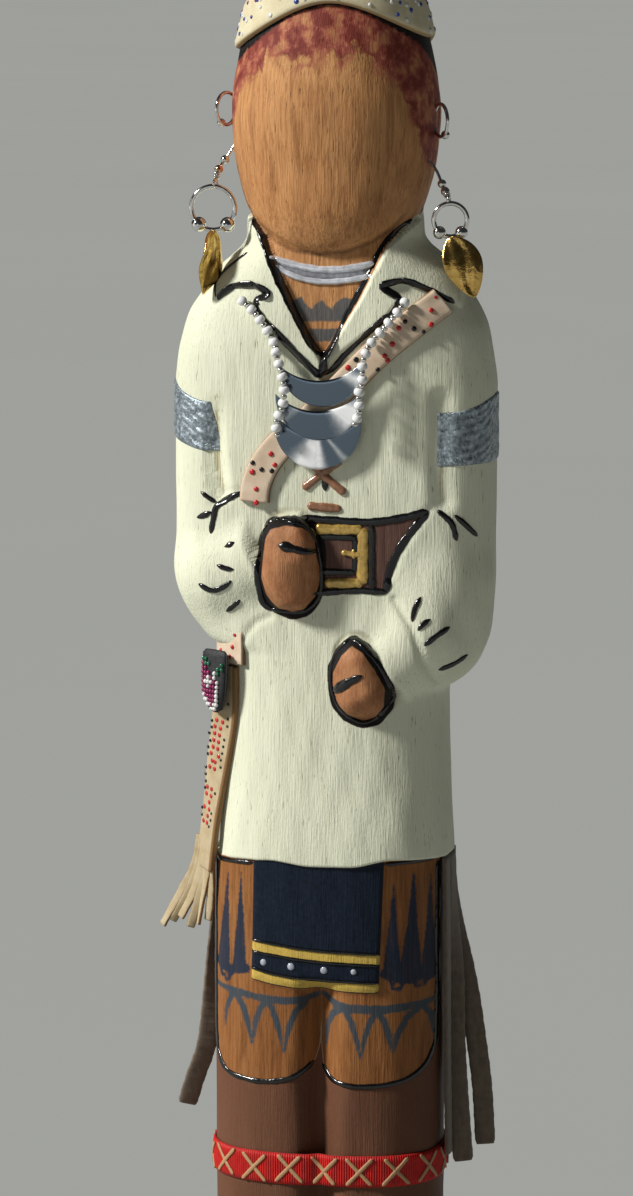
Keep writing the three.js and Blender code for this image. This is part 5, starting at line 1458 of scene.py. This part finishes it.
beadSizes = {"radius": 1.32, "half": 0.98, "hole": 0.36, "spacerRadius": 0.82, "spacerHalf": 0.5, "gap": 0.3,
             "pitch": 3.15}
gorgetSizes = {"radius": 10.8, "upperRadius": 15.0, "thick": 0.5, "bulge": 0.55}
overSash = hideSizes["gap"] + hideSizes["thick"]
gorgetStep = gorgetSizes["thick"] + hideSizes["gap"]
overGorgets = overSash + 3 * gorgetStep
strands = {
    "bead_strand_left": [
        (-21.4, 300.6, 0.5), (-18.6, 298.4, 0.3), (-16.2, 295.8, 0.2), (-14.2, 293.2, 0.2),
        (-12.2, 289.8, 0.2), (-10.9, 286.4, 3),
        (-9.6, 282.6, overGorgets), (-9, 278, overGorgets), (-9.4, 274.6, overGorgets),
        (-11, 270.4, overGorgets), (-10.7, 267.2, overGorgets)],
    "bead_strand_right": [
        (20.6, 301.2, 0.8), (18.9, 298.4, overSash), (17.2, 296.4, overSash), (15.2, 293.8, overSash),
        (12.9, 291.3, overSash), (11.2, 288.3, 3.4), (10.4, 285, overGorgets), (10.4, 281.4, overGorgets),
        (9.5, 277.6, overGorgets), (9.7, 273.7, overGorgets), (8.4, 270.2, overGorgets)],
}


def beadMaterial():
    # milky glass, its white clouded a little
    looks = {"Roughness": 0.16, "Subsurface_Weight": 0.12, "Coat_Weight": 0.4}
    material, tree, shader = newMaterial("white seed beads", **looks)
    cloud = noise(tree, coordinates(tree, (1, 1, 1)), 0.8, 2)
    color = blend(tree, spread(tree, cloud, 0.3, 0.7), (0.76, 0.77, 0.78), (0.88, 0.88, 0.87))
    tree.links.new(color, shader.inputs["Base Color"])
    shader.inputs["Subsurface Radius"].default_value = (0.001, 0.001, 0.001)
    return material


def metalMaterial(name, light, dark, roughness, scratches, depth):  # metal clouded between two colours
    material, tree, shader = newMaterial(name, Metallic=1.0, Roughness=roughness)
    cloud = noise(tree, coordinates(tree, (1, 1, 1)), scratches, 4, 0.6)
    tree.links.new(blend(tree, spread(tree, cloud, 0.3, 0.7), dark, light), shader.inputs["Base Color"])
    addBump(tree, shader, cloud, 0.4, depth)
    return material


silverMetal = metalMaterial("polished silver", (0.88, 0.87, 0.85), (0.62, 0.60, 0.58), 0.12, 1.2, 0.04)
goldMetal = metalMaterial("gold leaf metal", (0.84, 0.57, 0.18), (0.50, 0.29, 0.07), 0.2, 0.55, 0.6)
copperMetal = metalMaterial("copper bead", (0.80, 0.42, 0.24), (0.6, 0.28, 0.15), 0.2, 1.0, 0.05)


def gorgetMaterial():
    # sheet metal polished in circles, its reflections painted in: by the stored value, rays fanning from the
    # middle are painted near white and less metallic, the rest dark blue-grey
    material, tree, shader = newMaterial("polished sheet", Metallic=1.0)
    cloud = noise(tree, coordinates(tree, (1, 1, 1)), 1.1, 4, 0.6)
    # painted reflection: the stored value sets colour, metallic and roughness
    paintedGlint = calc(tree, "ADD", stored(tree, "paintedGlint"), calc(tree, "MULTIPLY_ADD", cloud, 0.24, -0.12))
    color = blend(tree, spread(tree, paintedGlint, 0.05, 0.8), (0.17, 0.22, 0.28), (0.98, 0.99, 1.0))
    tree.links.new(spread(tree, paintedGlint, 0.25, 0.8, 1.0, 0.0), shader.inputs["Metallic"])
    tree.links.new(color, shader.inputs["Base Color"])
    tree.links.new(calc(tree, "MULTIPLY_ADD", paintedGlint, 0.16, 0.12), shader.inputs["Roughness"])
    addBump(tree, shader, cloud, 0.3, 0.03)
    return material


sheetMetal = gorgetMaterial()


def barrel(radius, half, hole):  # a bead: a rounded barrel with a dimple at each end of its hole
    turn = np.linspace(-np.pi / 2, np.pi / 2, 11)
    side = [(hole + (radius - hole) * np.cos(a) ** 0.7, half * np.sin(a)) for a in turn]
    return turned([(hole * 0.9, -half * 0.55)] + side + [(hole * 0.9, half * 0.55)], 20)


def makeStrand(name, route):
    # beads and spacers by turns at equal steps along a smooth line, each leaning a little at random
    route = np.array(route)
    spots = onFront(route[:, 0], route[:, 1])
    spots[:, 1] -= route[:, 2] + beadSizes["gap"] + beadSizes["radius"]
    line = smoothLine(spots, 400)
    length = lengthOf(line)
    pairs = round(length / beadSizes["pitch"])
    at = (np.arange(pairs) + 0.5) / pairs * 399
    index = np.arange(400)

    def frames(positions, lean):
        centre = np.stack([np.interp(positions, index, line[:, k]) for k in range(3)], -1)
        forward = np.stack([np.interp(positions, index, np.gradient(line[:, k])) for k in range(3)], -1)
        forward = unit(unit(forward) + chance.normal(0, lean, forward.shape))
        across = unit(np.cross(forward, [0.0, 1.0, 0.0]))
        return centre, across, np.cross(forward, across), forward

    centre, xs, ys, zs = frames(at - 0.14 * 399 / pairs, 0.10)
    size = (1 + chance.uniform(-0.06, 0.06, pairs))[:, None]
    bead = barrel(beadSizes["radius"], beadSizes["half"], beadSizes["hole"])
    beads = copies(bead, centre, xs * size, ys * size, zs)
    makePiece(name + "_beads", beads, beadMaterial(), "seed_beads", name)
    centre, xs, ys, zs = frames(at + 0.36 * 399 / pairs, 0.14)
    spacers = copies(barrel(beadSizes["spacerRadius"], beadSizes["spacerHalf"], 0.3), centre, xs, ys, zs)
    thread = smoothLine(spots, 90)
    across, over = frameOf(thread, np.tile([0.0, 1.0, 0.0], (90, 1)))[1:]
    string = tube(thread, across, over, 0.22, 0.22, 8)
    makePiece(name + "_spacers", joined([spacers, string]), silverMetal, "silver")


for strandName, strandRoute in strands.items():
    makeStrand(strandName, strandRoute)


gorgetPaintedGlints = {  # painted reflections: angle from the lowest point, spread and strength of each painted bright ray
    "gorget_bottom": [(-0.3, 0.34, 1.0), (0.1, 0.14, 0.5), (0.72, 0.09, 0.45)],
    "gorget_middle": [(1.0, 0.42, 1.0), (-1.1, 0.14, 0.3)],
    "gorget_top": [(1.05, 0.2, 0.7)],
}


def makeGorget(name, x, middle, upperEdge, layer, tilt):
    # a crescent between a round lower edge and a flatter upper one, bulging a little to the front
    radius, upper = gorgetSizes["radius"], gorgetSizes["upperRadius"]
    apart = upperEdge + upper - middle
    tipHeight = (radius**2 - upper**2 + apart**2) / (2 * apart)
    tipReach = np.sqrt(radius**2 - tipHeight**2)
    rise, drop = np.arcsin(tipHeight / radius), np.arctan2(apart - tipHeight, tipReach)
    s = np.linspace(0, 1, 72)[:, None]
    t = np.linspace(0, 1, 14)[None, :]
    low = np.pi - rise + s * (np.pi + 2 * rise)
    high = np.pi + drop + s * (np.pi - 2 * drop)
    px = radius * np.cos(low) * (1 - t) + upper * np.cos(high) * t
    pz = radius * np.sin(low) * (1 - t) + (apart + upper * np.sin(high)) * t
    bulge = gorgetSizes["bulge"] * (1 - (np.hypot(px, pz) / radius) ** 2)
    lift = overSash + hideSizes["gap"] + layer * gorgetStep
    seat = onFront(np.array([x]), np.array([middle - 4.0]))[0][1] - lift
    edge = 0.12 * (1 - np.sqrt(np.clip(1 - np.abs(2 * t - 1) ** 10, 0, 1)))
    front = np.stack([px, seat - gorgetSizes["thick"] - bulge + edge, pz], -1)
    back = np.stack([px, seat - bulge - edge, pz], -1)[:, ::-1]
    grid = np.concatenate([front, back], 1)
    c, sn = np.cos(tilt), np.sin(tilt)
    turnedGrid = np.stack([grid[..., 0] * c + grid[..., 2] * sn + x, grid[..., 1],
                           grid[..., 2] * c - grid[..., 0] * sn + middle], -1)
    angle = np.arctan2(px, -pz)
    # painted reflection: how bright each point of the sheet is painted
    paintedGlint = sum(level * np.exp(-(((angle - at) / soft) ** 2)) for at, soft, level in gorgetPaintedGlints[name])
    paintedGlint = np.concatenate([paintedGlint, paintedGlint[:, ::-1]], 1).ravel()
    paintedGlint = np.concatenate([paintedGlint, [0, 0]])
    makePiece(name + "_sheet", closedGrid(turnedGrid), sheetMetal, "sheet_silver", name,
              attributes={"paintedGlint": paintedGlint})


makeGorget("gorget_bottom", -1.2, 269.6, 267.4, 0, 0.02)
makeGorget("gorget_middle", -0.8, 277, 273.4, 1, -0.05)
makeGorget("gorget_top", 0.1, 285.4, 281.1, 2, -0.09)
print("beads and gorgets hung")


# Earrings

earSizes = {
    "hoop": 4.0, "wire": 0.45, "ringWire": 0.6, "bead": 1.1, "gap": 0.35,
    "leafLong": 16.0, "leafWide": 9.6, "leafThick": 1.5,
}
earPlan = {
    "left": {
        "side": -1, "hoopAt": (-26.6, -6, 346.4), "hoopTurn": 1.1, "ring": 5.4, "ball": 1.9, "ringTurn": 0.1,
        "drop": [(-22.6, -6, 340.2), (-25.4, -6.8, 336), (-26.7, -7.4, 333.9), (-28, -9, 331.6),
                 (-28.4, -11.4, 328.8)],
        "hangX": -0.35, "lean": -0.13, "leafTurn": 1.15,
    },
    "right": {
        "side": 1, "hoopAt": (27, -6, 344), "hoopTurn": -1.0, "ring": 4.1, "ball": 1.6, "ringTurn": 0.2,
        "drop": [(23, -6, 335.6), (26.2, -7, 331.6), (27.6, -7.8, 328.6), (28.6, -9, 326.8),
                 (29.8, -11, 325.3)],
        "hangX": 0.35, "lean": 0.4, "leafTurn": 0.1,
    },
}


def wireRing(centre, radius, wire, turn, count=64, sides=12):  # an upright circle of round wire
    at = 2 * np.pi * np.arange(count) / count
    flat = np.array([np.cos(turn), np.sin(turn), 0])
    out = np.cos(at)[:, None] * flat + np.sin(at)[:, None] * [0, 0, 1.0]
    side = np.tile(np.cross(flat, [0, 0, 1.0]), (count, 1))
    return tube(np.asarray(centre) + out * radius, out, side, wire, wire, sides, loops=True)


def makeLeaf(name, top, bottom, turn):
    # a pointed blade that twists as it falls, ridged along its middle, its edges thin
    line = smoothLine([top, (top + bottom) / 2 + [0.6, 0, 0], bottom], 60)
    t = np.linspace(0, 1, 60)
    angle = turn + 0.5 * (t - 0.5) + 0.25 * np.sin(2 * np.pi * t)
    hint = np.stack([np.cos(angle), np.sin(angle), 0 * t], -1)
    across, over = frameOf(line, hint)[1:]
    swell = 0.08 + 0.92 * np.sin(np.pi * t**0.85) ** 0.8
    around = 2 * np.pi * np.arange(40) / 40
    wide = (swell * earSizes["leafWide"] / 2)[:, None] * np.cos(around)
    ribs = 0.22 * np.cos(7 * np.cos(around)[None, :] + 5 * t[:, None]) * swell[:, None]
    thick = (swell * earSizes["leafThick"] / 2 + 0.12)[:, None] * np.sin(around) * (1 + ribs)
    curl = 0.55 * (np.cos(around) ** 2)[None, :] * swell[:, None]
    grid = line[:, None] + across[:, None] * wide[..., None] + over[:, None] * (thick + curl)[..., None]
    makePiece(name + "_gold", closedGrid(grid), goldMetal, "gold", name)


def makeEarrings(key, plan):
    # hoop with its ball, ear wire with beads and coil, ring with two balls, and the leaf that hangs under it
    side = plan["side"]
    centre = np.array(plan["hoopAt"], float)
    ball = centre + [side * 0.3 * earSizes["hoop"], -0.4, -0.88 * earSizes["hoop"]]
    ring = wireRing(centre, earSizes["hoop"], earSizes["wire"], plan["hoopTurn"])
    hoop = joined([ring, ballAt(ball, earSizes["bead"])])
    makePiece("ear_hoop_" + key + "_silver", hoop, silverMetal, "silver", "ear_hoop_" + key)
    line = smoothLine(plan["drop"], 60)
    forward, across, over = frameOf(line, np.tile([0.0, 1.0, 0.0], (60, 1)))
    parts = [tube(line, across, over, earSizes["wire"] * 0.8, earSizes["wire"] * 0.8, 10)]
    parts.append(ballAt(plan["drop"][2], earSizes["bead"]))
    for k in range(4):  # the wire's end coiled round itself
        spot = 44 + 3.2 * k
        middle = np.array([np.interp(spot, np.arange(60), line[:, j]) for j in range(3)])
        way = forward[int(spot)]
        first = unit(np.cross(way, [0, 1.0, 0]))
        at = 2 * np.pi * np.arange(24) / 24
        out = np.cos(at)[:, None] * first + np.sin(at)[:, None] * np.cross(way, first)
        parts.append(tube(middle + out * 0.62, out, np.tile(way, (24, 1)), 0.26, 0.26, 8, loops=True))
    end = np.array(plan["drop"][-1], float)
    parts.append(wireRing(end + [0, 0, -0.5], 0.95, 0.3, plan["ringTurn"] + 1.2, 32, 8))
    makePiece("ear_drop_" + key + "_silver", joined(parts), silverMetal, "silver", "ear_drop_" + key)
    makePiece("ear_bead_" + key, ballAt(plan["drop"][3], earSizes["bead"]),
              copperMetal if key == "left" else silverMetal, "silver")
    hang = earSizes["wire"] + earSizes["ringWire"] + earSizes["gap"]
    ringCentre = end + [plan["hangX"] * hang, -0.4 * hang, -0.85 * hang - plan["ring"]]
    turn = plan["ringTurn"]
    parts = [wireRing(ringCentre, plan["ring"], earSizes["ringWire"], turn)]
    for lean in (-1, 1):
        angle = -np.pi / 2 + lean * 0.72
        way = np.array([np.cos(angle) * np.cos(turn), np.cos(angle) * np.sin(turn), np.sin(angle)])
        parts.append(ballAt(ringCentre + plan["ring"] * way, plan["ball"]))
    makePiece("ear_ring_" + key + "_silver", joined(parts), silverMetal, "silver", "ear_ring_" + key)
    top = ringCentre + [0, -earSizes["ringWire"] - earSizes["gap"] - 0.2, -plan["ring"]]
    lean, long = plan["lean"], earSizes["leafLong"]
    bottom = top + np.array([lean, -0.1, -np.sqrt(0.99 - lean**2)]) * long
    makeLeaf("ear_leaf_" + key, top, bottom, plan["leafTurn"])


for earKey, earValues in earPlan.items():
    makeEarrings(earKey, earValues)
print("earrings hung")


# Base and floor

baseSizes = {"rounding": 4.0, "chamfer": 1.0}


def baseMaterial():
    # dark stained wood, its grain along x
    material, tree, shader = newMaterial("stained base wood", Roughness=0.42, Coat_Weight=0.15)
    grain = noise(tree, coordinates(tree, (0.06, 1, 1)), 0.55, 5, 0.6, 0.6)
    fine = noise(tree, coordinates(tree, (0.05, 1, 1)), 2.4, 3)
    color = blend(tree, spread(tree, grain, 0.35, 0.65), (0.095, 0.045, 0.022), (0.20, 0.105, 0.052))
    color = blend(tree, spread(tree, fine, 0.55, 0.75, 0, 0.6), color, (0.055, 0.025, 0.012))
    tree.links.new(color, shader.inputs["Base Color"])
    addBump(tree, shader, calc(tree, "MULTIPLY_ADD", fine, 0.6, grain), 0.4, 0.15)
    return material


def makeBase():
    # a profile turned round the middle: a chamfer at the floor and a rounding at the top
    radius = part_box("base")[1][0] / mm
    high = soleHeight / mm
    chamfer, rounding = baseSizes["chamfer"], baseSizes["rounding"]
    turn = np.linspace(np.pi / 2, 0, 12)
    profile = [(0.5, -high), (radius - chamfer, -high), (radius, chamfer - high)]
    profile += [(radius - rounding + rounding * np.sin(a), rounding * np.cos(a) - rounding) for a in turn]
    profile += [(radius * share, 0.0) for share in (0.8, 0.5, 0.2, 0.02)]
    makePiece("turned_base", turned(profile, 160), baseMaterial(), "base_wood", "base")


def makeFloor():  # one pale square far larger than the view
    mesh = bpy.data.meshes.new("floor")
    half = 60.0
    corners = [(-half, -half, 0), (half, -half, 0), (half, half, 0), (-half, half, 0)]
    mesh.from_pydata(corners, [], [(0, 1, 2, 3)])
    material, tree, shader = newMaterial("pale floor", Roughness=0.8)
    cloud = noise(tree, addNode(tree, "TexCoord").outputs["Object"], 1.5, 3)
    color = blend(tree, cloud, (0.42, 0.435, 0.425), (0.45, 0.465, 0.455))
    tree.links.new(color, shader.inputs["Base Color"])
    mesh.materials.append(material)
    floor = bpy.data.objects.new("floor", mesh)
    bpy.context.scene.collection.objects.link(floor)


makeBase()
makeFloor()
print("base and floor made")
